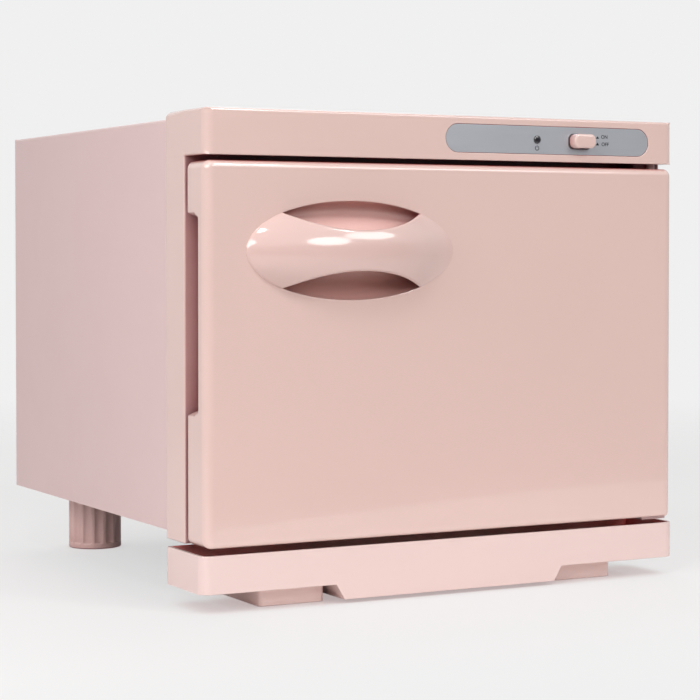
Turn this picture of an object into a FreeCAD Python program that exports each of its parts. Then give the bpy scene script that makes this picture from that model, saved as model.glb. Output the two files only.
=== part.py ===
import FreeCAD, Part
import Sketcher
import os
import re

# Hot-towel cabinet. Millimetres, +Z up, door facing -Y, floor at Z = 0.
# X and Y are centred on the outline of the whole cabinet, handle and cord gland included.

doc = FreeCAD.newDocument("towel_cabinet")

# Driving sizes: alias, value, what it measures.
SIZES = [
    ("width", 320, "outside width of bezel and door"),
    ("height", 283, "floor to the top of the header"),
    ("header_height", 26.2, "header, top to underside"),
    ("bezel_depth", 55.3, "door front to the back edge of the bezel"),
    ("rail_setback", 28.8, "door front to the bezel face behind the door"),
    ("case_depth", 265.3, "bezel back edge to the outside of the rear panel"),
    ("case_inset", 1.2, "case side inside the bezel side"),
    ("case_drop", 4, "case top below the header top"),
    ("leg_height", 41.2, "floor to the underside of the case"),
    ("bezel_drop", 4.7, "case underside to the bezel's lower edge"),
    ("sheet", 1.2, "painted steel sheet"),
    ("wall", 2.5, "moulded plastic wall"),
    ("corner_radius", 5.5, "upright front corners of header and door"),
    ("header_front_radius", 1.5, "header top front edge"),
    ("header_rear_radius", 3.5, "header top rear edge"),
    ("fit_gap", 0.2, "gap round plates set in a frame"),
    ("running_gap", 0.3, "gap between pieces that move past each other"),
    ("door_gap", 2.9, "header underside to door top"),
    ("door_step", 0.2, "bezel lower edge to door lower edge"),
    ("door_depth", 24, "door front to door back"),
    ("door_top_radius", 4, "door top front edge"),
    ("door_low_radius", 1.6, "door lower front edge"),
    ("door_top_corner", 5, "door upper corners, seen from the front"),
    ("door_low_corner", 2.5, "door lower corners, seen from the front"),
    ("liner_sheet", 2, "door liner thickness"),
    ("liner_screw_inset", 17, "door side to the liner screws"),
    ("liner_screw_end", 20, "door top and bottom to the liner screws"),
    ("foam_margin", 8, "door foam above and below the chamber mouth"),
    ("foam_window_gap", 1, "door foam round the bowl flange"),
    ("notch_drop", 60.2, "header top to the top of the finger notch"),
    ("notch_length", 110.9, "finger notch, top to bottom"),
    ("notch_depth", 13.8, "finger notch, from the door back forward"),
    ("notch_reach", 9, "finger notch, from the door side inward"),
    ("grip_inset", 93, "door left side to the handle centre"),
    ("grip_drop", 79.8, "header top to the handle centre"),
    ("grip_half_length", 68, "handle outline, half length"),
    ("grip_half_height", 29, "handle outline, half height"),
    ("grip_rise", 17.5, "handle bar crest in front of the door"),
    ("grip_sink", 17.5, "centre of the handle dome behind the door front"),
    ("grip_skin", 2.5, "handle bar wall"),
    ("lens_margin", 0.4, "finger openings beyond the handle outline"),
    ("bar_half_height", 11.6, "handle bar at its waist, half height"),
    ("bar_arc_radius", 107.8, "arc of the bar's upper and lower edges"),
    ("cup_depth", 16.5, "bowl behind the handle bar"),
    ("cup_wall", 2, "bowl wall"),
    ("cup_flange", 6, "bowl flange, beyond the handle outline"),
    ("hinge_edge", 10, "door side to the hinge axis"),
    ("hinge_set", 10, "door front to the hinge axis"),
    ("pin_radius", 2.5, "hinge pins"),
    ("pin_clearance", 0.06, "hinge pin in its bush, radial"),
    ("bush_radius", 4.4, "hinge bush outside"),
    ("bush_length", 9, "hinge bush length"),
    ("bush_seat", 0.05, "bush in its boss, radial"),
    ("boss_radius", 7, "hinge boss in the door corners"),
    ("bracket_sheet", 1.6, "hinge bracket thickness"),
    ("bracket_width", 20, "hinge bracket width"),
    ("bracket_nose", 6, "hinge bracket in front of the hinge axis"),
    ("bracket_reach", 18, "upper bracket behind the hinge axis"),
    ("bracket_tail", 6, "lower bracket short of the bezel back"),
    ("bracket_screw_set", 12, "hinge screws behind the hinge axis or the bezel face"),
    ("bracket_screw_pitch", 8, "hinge screws, centre to centre"),
    ("gasket_width", 6, "door gasket, width of its ring"),
    ("gasket_margin", 1.5, "chamber mouth to the gasket's inner edge"),
    ("magnet_width", 9, "catch magnet width"),
    ("magnet_height", 26, "catch magnet height"),
    ("magnet_depth", 11, "catch magnet depth"),
    ("magnet_inset", 14.5, "bezel side to the catch centre"),
    ("magnet_rise", 46, "bezel lower edge to the catch centre"),
    ("strike_sheet", 1, "strike plate thickness"),
    ("catch_gap", 0.4, "magnet to strike plate, door shut"),
    ("tray_lip", 2, "drip tray beyond each bezel side"),
    ("tray_depth", 54, "drip tray, front to back"),
    ("tray_gap", 3.8, "bezel lower edge to the tray rim"),
    ("tray_height", 21.7, "tray rim to the tray's underside"),
    ("tray_wall", 2, "tray wall"),
    ("tray_radius", 6.5, "tray front corners, from above"),
    ("trough_gap", 1.7, "tray trough to each front foot"),
    ("trough_taper", 5.5, "each trough side leans in by this much"),
    ("trough_drop", 9, "trough below the tray's underside"),
    ("foot_width", 42.3, "front foot width"),
    ("foot_inset", 59.65, "bezel side to the front foot centre"),
    ("toe_set", 12, "door front to the front of the foot"),
    ("post_set", 57.5, "door front to the foot's post behind the tray"),
    ("post_depth", 30, "foot post, front to back"),
    ("foot_radius", 3, "front foot upright corners"),
    ("rear_foot_radius", 17, "rear foot radius"),
    ("rear_foot_inset", 46, "bezel side to the rear foot centre"),
    ("rear_foot_set", 31.6, "rear panel to the rear foot centre"),
    ("rear_foot_ring", 3.5, "plain ring at the rear foot's base"),
    ("flute_count", 14, "flutes round a rear foot"),
    ("flute_radius", 3.2, "round bottom of a flute"),
    ("flute_bite", 1.3, "depth of a flute"),
    ("foot_bore_depth", 33, "screw head below this depth in a foot"),
    ("foot_bore_radius", 5, "screw recess in a foot"),
    ("foot_screw_radius", 2, "foot screw shank"),
    ("foot_head_radius", 4, "foot screw head"),
    ("foot_head_height", 2.6, "foot screw head height"),
    ("foot_screw_reach", 5, "foot screw end above the base plate"),
    ("flange", 10, "folded sheet flanges"),
    ("slot_count", 9, "vent slots in a row"),
    ("slot_pitch", 14, "vent slots, centre to centre"),
    ("slot_width", 6, "vent slot width"),
    ("slot_height", 22, "vent slot height"),
    ("slot_low_rise", 24, "case underside to the lower slots"),
    ("slot_high_drop", 33.8, "case top to the top of the upper slots"),
    ("panel_screw_end", 19, "case top and underside to the outer panel screws"),
    ("panel_screw_radius", 1.4, "panel screw shank"),
    ("panel_head_radius", 3, "panel screw head"),
    ("panel_head_height", 1.6, "panel screw head height"),
    ("panel_screw_length", 7, "panel screw shank length"),
    ("screw_gap", 0.1, "screw shank in its hole, radial"),
    ("chamber_side_gap", 30, "bezel side to the chamber inside"),
    ("chamber_head_gap", 18.8, "header underside to the chamber ceiling"),
    ("chamber_rear_gap", 74.1, "chamber rear wall to the rear panel"),
    ("chamber_rise", 25.5, "bezel lower edge to the chamber floor"),
    ("chamber_sheet", 1, "aluminium sheet of the chamber"),
    ("chamber_flange", 9, "chamber flange behind the bezel face"),
    ("lagging", 12, "insulation round the chamber"),
    ("heater_side_gap", 20, "chamber side to the heater mat"),
    ("heater_end_gap", 32, "chamber ends to the heater mat"),
    ("heater_sheet", 3, "heater mat thickness"),
    ("shield_margin", 8, "heat shield beyond the heater"),
    ("thermostat_radius", 8, "thermostat disc"),
    ("thermostat_height", 9, "thermostat, cap to disc"),
    ("thermostat_set", 40, "terminal block centre to the thermostat, across"),
    ("fuse_radius", 2.2, "thermal fuse"),
    ("fuse_length", 14, "thermal fuse length"),
    ("fuse_set", 50, "thermostat to the thermal fuse"),
    ("ledge_height", 20, "chamber floor to the rack ledge"),
    ("ledge_width", 8, "rack ledge, wall to edge"),
    ("ledge_leg", 10, "rack ledge, leg on the wall"),
    ("ledge_end", 6, "rack ledge, short of the chamber's ends"),
    ("rack_gap", 3, "rack to each side wall"),
    ("rack_front_gap", 14, "rack front wire behind the bezel's inner face"),
    ("rack_rear_gap", 5, "rack rear wire to the chamber back"),
    ("frame_wire", 2, "rack front and rear wire radius"),
    ("side_wire", 1.8, "rack side wire radius"),
    ("cross_wire", 1.4, "rack cross wire radius"),
    ("wire_count", 15, "rack cross wires"),
    ("terminal_width", 40, "terminal block width"),
    ("terminal_depth", 18, "terminal block depth"),
    ("terminal_height", 15, "terminal block height"),
    ("terminal_inset", 100, "bezel side to the terminal block centre"),
    ("terminal_set", 30, "rear panel to the terminal block centre"),
    ("well_radius", 2.4, "terminal wells"),
    ("gland_inset", 56, "bezel side to the cord gland"),
    ("gland_rise", 30, "case underside to the cord gland"),
    ("gland_radius", 8, "cord gland body"),
    ("gland_flange_radius", 11.5, "cord gland flange"),
    ("gland_flange", 3, "cord gland flange thickness"),
    ("gland_length", 12, "cord gland inside the panel"),
    ("cord_bore", 3.6, "bore for the supply cord"),
    ("plate_length", 146.8, "control plate length"),
    ("plate_height", 17.2, "control plate height"),
    ("plate_sheet", 0.8, "control plate thickness"),
    ("plate_seat", 0.6, "control plate recess in the header"),
    ("plate_inset", 91.3, "bezel right side to the control plate centre"),
    ("plate_drop", 13, "header top to the control plate centre"),
    ("lamp_set", 9.6, "lamp left of the control plate centre"),
    ("lamp_radius", 2.5, "lamp lens"),
    ("lamp_rise", 0.6, "lamp lens in front of the header"),
    ("lens_reach", 4, "lamp lens inside its holder"),
    ("lamp_holder_radius", 4.5, "lamp holder"),
    ("lamp_holder_length", 12, "lamp holder behind the header wall"),
    ("knob_set", 21.9, "knob right of the control plate centre"),
    ("knob_drop", 13.4, "header top to the knob centre, switched off"),
    ("knob_length", 15.4, "switch knob length"),
    ("knob_height", 8.6, "switch knob height"),
    ("knob_rise", 6, "switch knob in front of the header"),
    ("knob_radius", 3.4, "switch knob corners"),
    ("stem_length", 6, "switch stem, across"),
    ("stem_height", 3, "switch stem, up"),
    ("stem_reach", 9, "switch stem behind the header front"),
    ("stem_end_gap", 1, "switch stem to the bottom of its well"),
    ("switch_travel", 3, "switch knob, off to on"),
    ("switch_width", 24, "switch body width"),
    ("switch_height", 13, "switch body height"),
    ("switch_depth", 14, "switch body depth"),
    ("lead_radius", 1.6, "internal leads"),
    ("lead_rise", 9, "internal leads above the header floor"),
    ("lead_turn", 5, "lamp lead behind the switch body"),
]

# Places worked out from the sizes, in the cabinet's own frame.
PLACES = [
    ("side", "width / 2", "bezel and door side"),
    ("grip_x", "grip_inset - side", "handle centre"),
    ("foot_x", "side - foot_inset", "front foot centre"),
    ("rear_foot_x", "side - rear_foot_inset", "rear foot centre"),
    ("gland_x", "side - gland_inset", "cord gland"),
    ("terminal_x", "side - terminal_inset", "terminal block centre"),
    ("thermostat_x", "terminal_x - thermostat_set", "thermostat"),
    ("fuse_x", "thermostat_x - fuse_set", "thermal fuse"),
    ("plate_x", "side - plate_inset", "control plate centre"),
    ("lamp_x", "plate_x - lamp_set", "lamp"),
    ("knob_x", "plate_x + knob_set", "switch knob"),
    ("depth", "grip_rise + bezel_depth + case_depth + gland_flange", "whole depth"),
    ("front", "grip_rise - depth / 2", "door, header and tray front"),
    ("rail_face", "front + rail_setback", "bezel face behind the door"),
    ("rail_inner", "rail_face + wall", "back of the bezel face"),
    ("bezel_back", "front + bezel_depth", "bezel back edge"),
    ("back", "bezel_back + case_depth", "rear panel outside"),
    ("header_low", "height - header_height", "header underside"),
    ("bezel_low", "leg_height - bezel_drop", "bezel lower edge"),
    ("case_side", "side - case_inset", "case outside"),
    ("case_inner", "case_side - sheet", "case side inside"),
    ("case_top", "height - case_drop", "case top"),
    ("case_roof", "case_top - sheet", "case top inside"),
    ("base_top", "leg_height + sheet", "base plate upper face"),
    ("panel_front", "back - sheet", "rear panel inner face"),
    ("door_top", "header_low - door_gap", "door upper edge"),
    ("door_low", "bezel_low + door_step", "door lower edge"),
    ("door_back", "front + door_depth", "door back"),
    ("hinge_x", "side - hinge_edge", "hinge axis"),
    ("hinge_y", "front + hinge_set", "hinge axis"),
    ("notch_top", "height - notch_drop", "finger notch top"),
    ("notch_low", "notch_top - notch_length", "finger notch bottom"),
    ("grip_z", "height - grip_drop", "handle centre"),
    ("dome_depth", "grip_rise + grip_sink", "handle dome, semi-axis to its crest"),
    ("dome_share", "sqrt(1 - (grip_sink / dome_depth)^2)", "dome section at the door front, as a share"),
    ("dome_half_length", "grip_half_length / dome_share", "handle dome, semi-axis across"),
    ("dome_half_height", "grip_half_height / dome_share", "handle dome, semi-axis up"),
    ("arc_centre", "bar_half_height + bar_arc_radius", "bar edge arcs from the handle centre"),
    ("mouth_half", "side - chamber_side_gap", "chamber mouth, half width"),
    ("mouth_low", "bezel_low + chamber_rise", "chamber floor"),
    ("mouth_top", "header_low - chamber_head_gap", "chamber ceiling"),
    ("chamber_back", "panel_front - chamber_rear_gap", "chamber rear wall"),
    ("tray_top", "bezel_low - tray_gap", "tray rim"),
    ("tray_low", "tray_top - tray_height", "tray underside"),
    ("trough_low", "tray_low - trough_drop", "trough underside"),
    ("toe_top", "tray_low - running_gap", "foot toe under the tray"),
    ("rear_foot_y", "back - rear_foot_set", "rear foot centre"),
    ("post_y", "front + post_set + post_depth / 2", "front foot post centre"),
    ("heater_y", "(rail_inner + chamber_back) / 2", "heater centre"),
    ("heater_half", "mouth_half - heater_side_gap", "heater, half width"),
    ("heater_front", "rail_inner + heater_end_gap", "heater front edge"),
    ("heater_back", "chamber_back - heater_end_gap", "heater rear edge"),
    ("tray_half", "side + tray_lip", "drip tray side"),
    ("trough_half", "foot_x - foot_width / 2 - trough_gap", "tray trough at its top, half width"),
    ("heater_low", "mouth_low - chamber_sheet - heater_sheet", "heater underside"),
    ("shield_low", "heater_low - chamber_sheet", "heat shield underside"),
    ("ledge_top", "mouth_low + ledge_height", "rack ledge"),
    ("rack_z", "ledge_top + running_gap + frame_wire", "rack wires"),
    ("rack_half", "mouth_half - rack_gap - frame_wire", "rack side wire"),
    ("rack_front", "rail_inner + rack_front_gap", "rack front wire"),
    ("rack_back", "chamber_back - rack_rear_gap - frame_wire", "rack rear wire"),
    ("plate_z", "height - plate_drop", "control plate centre"),
    ("knob_z", "height - knob_drop", "knob centre, switched off"),
    ("gland_z", "leg_height + gland_rise", "cord gland"),
    ("terminal_y", "back - terminal_set", "terminal block centre"),
    ("lead_z", "header_low + wall + lead_rise", "leads over the insulation"),
    ("catch_z", "bezel_low + magnet_rise", "catch centre"),
    ("catch_x", "magnet_inset - side", "catch centre"),
    ("magnet_front", "door_back + strike_sheet + catch_gap", "magnet face"),
    ("lagging_front", "magnet_front + magnet_depth + running_gap", "front of the insulation"),
    ("gasket_half", "mouth_half + gasket_margin + gasket_width", "gasket outside"),
]


def write_sheet(name, rows):
    """Put rows of alias, entry and note in a sheet and give column B the aliases."""
    sheet = doc.addObject("Spreadsheet::Sheet", name)
    for row, (alias, entry, note) in enumerate(rows, 1):
        sheet.set(f"A{row}", alias)
        sheet.set(f"B{row}", entry)
        sheet.set(f"C{row}", note)
        sheet.setAlias(f"B{row}", alias)
    return sheet


def qualified(text, owner):
    """Formula with each known alias preceded by its sheet's name."""
    return re.sub(r"[a-z]\w*", lambda word: owner.get(word.group(), word.group()), text)


sizes = write_sheet("sizes", [(alias, str(value), note) for alias, value, note in SIZES])
known = {row[0]: "sizes." + row[0] for row in SIZES}
places = write_sheet("places", [(a, "=" + qualified(text, known), note) for a, text, note in PLACES])
known.update({row[0]: "places." + row[0] for row in PLACES})
doc.recompute()


def bind(item, **formulas):
    """Tie properties of an object to formulas in the sheets' aliases."""
    for name, text in formulas.items():
        item.setExpression(name, qualified(text, known))
    return item


def place(item, x, y, z):
    """Tie an object's position to three formulas."""
    for axis, text in zip("xyz", (x, y, z)):
        item.setExpression("Placement.Base." + axis, qualified(text, known))
    return item


def box(name, x, y, z):
    """Box from pairs of formulas, lowest and highest, along each axis."""
    solid = doc.addObject("Part::Box", name)
    spans = [f"({high}) - ({low})" for low, high in (x, y, z)]
    bind(solid, Length=spans[0], Width=spans[1], Height=spans[2])
    return place(solid, x[0], y[0], z[0])


TURNS = {
    "X": FreeCAD.Rotation(FreeCAD.Vector(0, 1, 0), 90),
    "Y": FreeCAD.Rotation(FreeCAD.Vector(1, 0, 0), -90),
    "Z": FreeCAD.Rotation(),
}


def rod(name, axis, radius, length, x, y, z):
    """Cylinder that runs from a point in the positive direction of an axis."""
    solid = doc.addObject("Part::Cylinder", name)
    solid.Placement = FreeCAD.Placement(FreeCAD.Vector(), TURNS[axis])
    bind(solid, Radius=radius, Height=length)
    return place(solid, x, y, z)


def ellipsoid(name, half_x, half_y, half_z, x, y, z):
    """Whole ellipsoid from its three semi-axes and its centre."""
    solid = doc.addObject("Part::Ellipsoid", name)
    solid.Angle1 = -90
    solid.Angle2 = 90
    solid.Angle3 = 360
    bind(solid, Radius1=half_z, Radius2=half_x, Radius3=half_y)
    return place(solid, x, y, z)


def oval(name, half_x, half_z, length, x, y, z):
    """Elliptical cylinder that runs towards +Y."""
    edge = doc.addObject("Part::Ellipse", name + "_edge")
    edge.Placement = FreeCAD.Placement(FreeCAD.Vector(), TURNS["Y"])
    bind(edge, MajorRadius=half_x, MinorRadius=half_z)
    place(edge, x, y, z)
    solid = doc.addObject("Part::Extrusion", name)
    solid.Base = edge
    solid.DirMode = "Custom"
    solid.Dir = FreeCAD.Vector(0, 1, 0)
    solid.Solid = True
    return bind(solid, LengthFwd=length)


def fuse(name, *pieces):
    """One solid, or several in one node where they stand apart."""
    union = doc.addObject("Part::MultiFuse", name)
    union.Shapes = list(pieces)
    union.Refine = True
    return union


def cut(name, base, *tools):
    """Base with every tool taken away."""
    rest = doc.addObject("Part::Cut", name)
    rest.Base = base
    rest.Tool = tools[0] if len(tools) == 1 else fuse(name + "_tools", *tools)
    rest.Refine = True
    return rest


def common(name, *pieces):
    """What all the pieces share."""
    shared = doc.addObject("Part::MultiCommon", name)
    shared.Shapes = list(pieces)
    shared.Refine = True
    return shared


def group(name, pieces):
    """Separate solids of one kind kept in one node."""
    kept = doc.addObject("Part::Compound", name)
    kept.Links = list(pieces)
    return kept


def corner_edges(shape, axis, corners):
    """Names of the straight edges along an axis at the given corners: signs on the other axes."""
    bounds = shape.BoundBox
    spans = {
        "X": (bounds.XMin, bounds.XMax), "Y": (bounds.YMin, bounds.YMax), "Z": (bounds.ZMin, bounds.ZMax),
    }
    others = [other for other in "XYZ" if other != axis]
    names = []
    for number, edge in enumerate(shape.Edges, 1):
        ends = [vertex.Point for vertex in edge.Vertexes]
        along = dict(zip("XYZ", ends[-1] - ends[0]))
        if any(abs(along[other]) > 1e-6 for other in others):
            continue
        middle = dict(zip("XYZ", (ends[0] + ends[-1]) / 2))
        for signs in corners:
            target = [spans[other][sign > 0] for other, sign in zip(others, signs)]
            if all(abs(middle[other] - t) < 1e-6 for other, t in zip(others, target)):
                names.append(f"Edge{number}")
    return names


def block(name, x, y, z, *rounds):
    """Box in a body of its own; each round is an edge direction, its corners and a radius."""
    body = doc.addObject("PartDesign::Body", name)
    solid = body.newObject("PartDesign::AdditiveBox", name + "_box")
    spans = [f"({high}) - ({low})" for low, high in (x, y, z)]
    bind(solid, Length=spans[0], Width=spans[1], Height=spans[2])
    for number, (axis, corners, radius) in enumerate(rounds):
        doc.recompute()
        fillet = body.newObject("PartDesign::Fillet", f"{name}_round_{number}")
        fillet.Base = (solid, corner_edges(solid.Shape, axis, corners))
        solid = bind(fillet, Radius=radius)
    return place(body, x[0], y[0], z[0])


PLANES = {"X": "YZ_Plane", "Y": "XZ_Plane", "Z": "XY_Plane"}


def prism(name, axis, outline, start, length):
    """Straight-sided outline, pairs of formulas in the plane across an axis, padded along the axis."""
    body = doc.addObject("PartDesign::Body", name)
    sketch = body.newObject("Sketcher::SketchObject", name + "_outline")
    plane = [item for item in body.Origin.OriginFeatures if item.Role == PLANES[axis]][0]
    sketch.AttachmentSupport = [(plane, "")]
    sketch.MapMode = "FlatFace"
    count = len(outline)
    for number in range(count):
        start_point = FreeCAD.Vector(number, number * number, 0)
        end_point = FreeCAD.Vector(number + 1, (number + 1) ** 2, 0)
        sketch.addGeometry(Part.LineSegment(start_point, end_point), False)
    for number, (first, second) in enumerate(outline):
        add = sketch.addConstraint
        add(Sketcher.Constraint("Coincident", number, 2, (number + 1) % count, 1))
        for kind, text in (("DistanceX", first), ("DistanceY", second)):
            index = add(Sketcher.Constraint(kind, -1, 1, number, 1, 1.0))
            sketch.setExpression(f"Constraints[{index}]", qualified(text, known))
    pad = body.newObject("PartDesign::Pad", name + "_pad")
    pad.Profile = sketch
    pad.Reversed = axis == "Y"
    bind(pad, Length=length)
    at = {"X": (start, "0", "0"), "Y": ("0", start, "0"), "Z": ("0", "0", start)}
    return place(body, *at[axis])


def stadium(name, length, height, x, z, y, thickness):
    """Plate with half-round ends, lying across Y."""
    half = f"(({length}) - ({height})) / 2"
    middle = box(
        name + "_middle",
        (f"{x} - {half}", f"{x} + {half}"),
        (y, f"{y} + {thickness}"),
        (f"{z} - ({height}) / 2", f"{z} + ({height}) / 2"),
    )
    ends = [
        rod(f"{name}_end_{sign}", "Y", f"({height}) / 2", thickness, f"{x} + {sign} * {half}", y, z)
        for sign in (-1, 1)
    ]
    return fuse(name, middle, *ends)


def finish(piece, node):
    """Give the finished sub-part the name of its node."""
    piece.Label = node
    parts.append(piece)
    return piece


parts = []
SIDES = (("left", -1), ("right", 1))

# --- Case -----------------------------------------------------------------------------------


def panel_screw_spots():
    """Rear panel screws: three up each side, on the case's rear flanges."""
    spots = []
    for sign in (-1, 1):
        for height in (
            "leg_height + panel_screw_end", "(leg_height + case_top) / 2", "case_top - panel_screw_end",
        ):
            spots.append((f"{sign} * (case_inner - flange / 2)", height))
    return spots


def make_outer_case():
    """Painted sheet bent to a U: roof and two sides, with flanges turned in at the back."""
    shell = cut(
        "case_u",
        box(
            "case_block",
            ("-case_side", "case_side"),
            ("bezel_back", "panel_front"),
            ("leg_height", "case_top"),
        ),
        box(
            "case_hollow",
            ("-case_inner", "case_inner"),
            ("bezel_back - 1", "back"),
            ("leg_height - 1", "case_roof"),
        ),
    )
    lip = ("panel_front - sheet", "panel_front")
    flanges = [
        box(
            "case_flange_left",
            ("-case_inner", "flange - case_inner"),
            lip,
            ("base_top + flange", "case_roof"),
        ),
        box(
            "case_flange_right",
            ("case_inner - flange", "case_inner"),
            lip,
            ("base_top + flange", "case_roof"),
        ),
        box("case_flange_roof", ("-case_inner", "case_inner"), lip, ("case_roof - flange", "case_roof")),
    ]
    holes = [
        rod(
            f"case_screw_hole_{number}",
            "Y",
            "panel_screw_radius + screw_gap",
            "3 * sheet",
            x,
            "back - 3 * sheet",
            z,
        )
        for number, (x, z) in enumerate(panel_screw_spots())
    ]
    finish(cut("case", fuse("case_bent", shell, *flanges), *holes), "outer_case")


def foot_screw_spots():
    """Screw centre in each of the four feet."""
    spots = [(f"{sign} * foot_x", "post_y") for side, sign in SIDES]
    return spots + [(f"{sign} * rear_foot_x", "rear_foot_y") for side, sign in SIDES]


def make_base_plate():
    """Steel floor of the case with an upturned edge at each side and at the back."""
    floor = ("leg_height", "base_top")
    edge = ("leg_height", "base_top + flange - sheet")
    run = ("bezel_back", "panel_front")
    plate = fuse(
        "base_bent",
        box("base_floor", ("-case_inner", "case_inner"), run, floor),
        box("base_edge_left", ("-case_inner", "sheet - case_inner"), run, edge),
        box("base_edge_right", ("case_inner - sheet", "case_inner"), run, edge),
        box("base_edge_back", ("-case_inner", "case_inner"), ("panel_front - sheet", "panel_front"), edge),
    )
    holes = [
        rod(
            f"base_hole_{number}",
            "Z",
            "foot_screw_radius + screw_gap",
            "3 * sheet",
            x,
            y,
            "leg_height - sheet",
        )
        for number, (x, y) in enumerate(foot_screw_spots())
    ]
    finish(cut("base", plate, *holes), "base_plate")


def make_rear_panel():
    """Flat steel back with rows of vent slots, screw holes and the hole for the cord gland."""
    plate = box(
        "panel_plate", ("-case_side", "case_side"), ("panel_front", "back"), ("leg_height", "case_top"),
    )
    through = ("panel_front - 1", "back + 1")
    reach = (int(sizes.get("slot_count")) - 1) // 2
    slots = [
        box(
            f"panel_slot_{row}_{column}",
            (f"{column} * slot_pitch - slot_width / 2", f"{column} * slot_pitch + slot_width / 2"),
            through,
            (start, f"{start} + slot_height"),
        )
        for row, start in enumerate(
            ("leg_height + slot_low_rise", "case_top - slot_high_drop - slot_height")
        )
        for column in range(-reach, reach + 1)
    ]
    holes = [
        rod(
            f"panel_screw_hole_{number}",
            "Y",
            "panel_screw_radius + screw_gap",
            "sheet + 2",
            x,
            "panel_front - 1",
            z,
        )
        for number, (x, z) in enumerate(panel_screw_spots())
    ]
    gland_hole = rod(
        "panel_gland_hole", "Y", "gland_radius + screw_gap", "sheet + 2",
        "gland_x", "panel_front - 1", "gland_z",
    )
    finish(cut("panel", plate, gland_hole, *holes, *slots), "rear_panel")


def make_panel_screws():
    """Pan-head screws that hold the rear panel."""
    screws = []
    for number, (x, z) in enumerate(panel_screw_spots()):
        head = rod(f"panel_head_{number}", "Y", "panel_head_radius", "panel_head_height", x, "back", z)
        shank = rod(
            f"panel_shank_{number}", "Y", "panel_screw_radius", "panel_screw_length + 0.5",
            x, "back - panel_screw_length", z,
        )
        screws.append(fuse(f"panel_screw_{number}", head, shank))
    finish(group("panel_screws", screws), "panel_screws")


# --- Bezel and controls ---------------------------------------------------------------------

FRONT_CORNERS = ((-1, -1), (1, -1))


def bracket_screw_spots():
    """Hinge bracket screws: a pair in the bezel floor and a pair in the header floor."""
    across = [f"hinge_x - wall / 2 + {sign} * bracket_screw_pitch / 2" for sign in (-1, 1)]
    low = [(x, "rail_face + bracket_screw_set") for x in across]
    high = [(x, "hinge_y + bracket_screw_set") for x in across]
    return low, high


def make_front_bezel():
    """Moulded frame: deep header over a set-back frame with the chamber mouth in it."""
    across = ("-side", "side")
    header_span = ("front", "bezel_back")
    header_rise = ("header_low", "height")
    plan = block("header_plan", across, header_span, header_rise, ("Z", FRONT_CORNERS, "corner_radius"))
    profile = block(
        "header_profile", across, header_span, header_rise,
        ("X", ((-1, 1),), "header_front_radius"),
        ("X", ((1, 1),), "header_rear_radius"),
    )
    header = common("header", plan, profile)
    rails = block("rails", across, ("rail_face", "bezel_back"), ("bezel_low", "header_low + wall"),
                  ("Z", FRONT_CORNERS, "header_front_radius"))
    inside = ("wall - side", "side - wall")
    hollows = [
        box(
            "header_hollow", inside, ("front + wall", "bezel_back + 1"), ("header_low + wall", "case_roof"),
        ),
        box(
            "rails_hollow",
            inside,
            ("rail_inner", "bezel_back + 1"),
            ("bezel_low + wall", "header_low + wall + 1"),
        ),
        box(
            "mouth",
            ("-mouth_half", "mouth_half"),
            ("rail_face - 1", "rail_inner + 1"),
            ("mouth_low", "mouth_top"),
        ),
    ]
    recess = stadium("plate_recess", "plate_length + 2 * fit_gap", "plate_height + 2 * fit_gap",
                     "plate_x", "plate_z", "front - 1", "1 + plate_seat")
    lamp_hole = rod("header_lamp_hole", "Y", "lamp_radius", "wall + 2", "lamp_x", "front - 1", "plate_z")
    switch_slot = stem_slot("header_switch_slot", "front - 1", "front + wall + 1")
    pin_hole = rod(
        "header_pin_hole",
        "Z",
        "pin_radius + screw_gap",
        "wall + 2",
        "hinge_x",
        "hinge_y",
        "header_low - 1",
    )
    magnet_hole = catch_block("bezel_magnet_hole", "fit_gap", "rail_face - 1", "rail_inner + 1")
    low, high = bracket_screw_spots()
    screw_holes = [
        rod(
            f"bezel_low_hole_{number}",
            "Z",
            "panel_screw_radius + screw_gap",
            "wall + 2",
            x,
            y,
            "bezel_low - 1",
        )
        for number, (x, y) in enumerate(low)
    ]
    screw_holes += [
        rod(
            f"bezel_high_hole_{number}",
            "Z",
            "panel_screw_radius + screw_gap",
            "wall + 2",
            x,
            y,
            "header_low - 1",
        )
        for number, (x, y) in enumerate(high)
    ]
    solid = fuse("bezel_solid", header, rails)
    finish(
        cut("bezel", solid, *hollows, recess, lamp_hole, switch_slot, pin_hole, magnet_hole, *screw_holes),
        "front_bezel",
    )


def stem_slot(name, near, far):
    """Upright slot that the switch stem travels in."""
    return box(
        name,
        ("knob_x - stem_length / 2 - running_gap", "knob_x + stem_length / 2 + running_gap"),
        (near, far),
        (
            "knob_z - stem_height / 2 - running_gap",
            "knob_z + stem_height / 2 + switch_travel + running_gap",
        ),
    )


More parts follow.
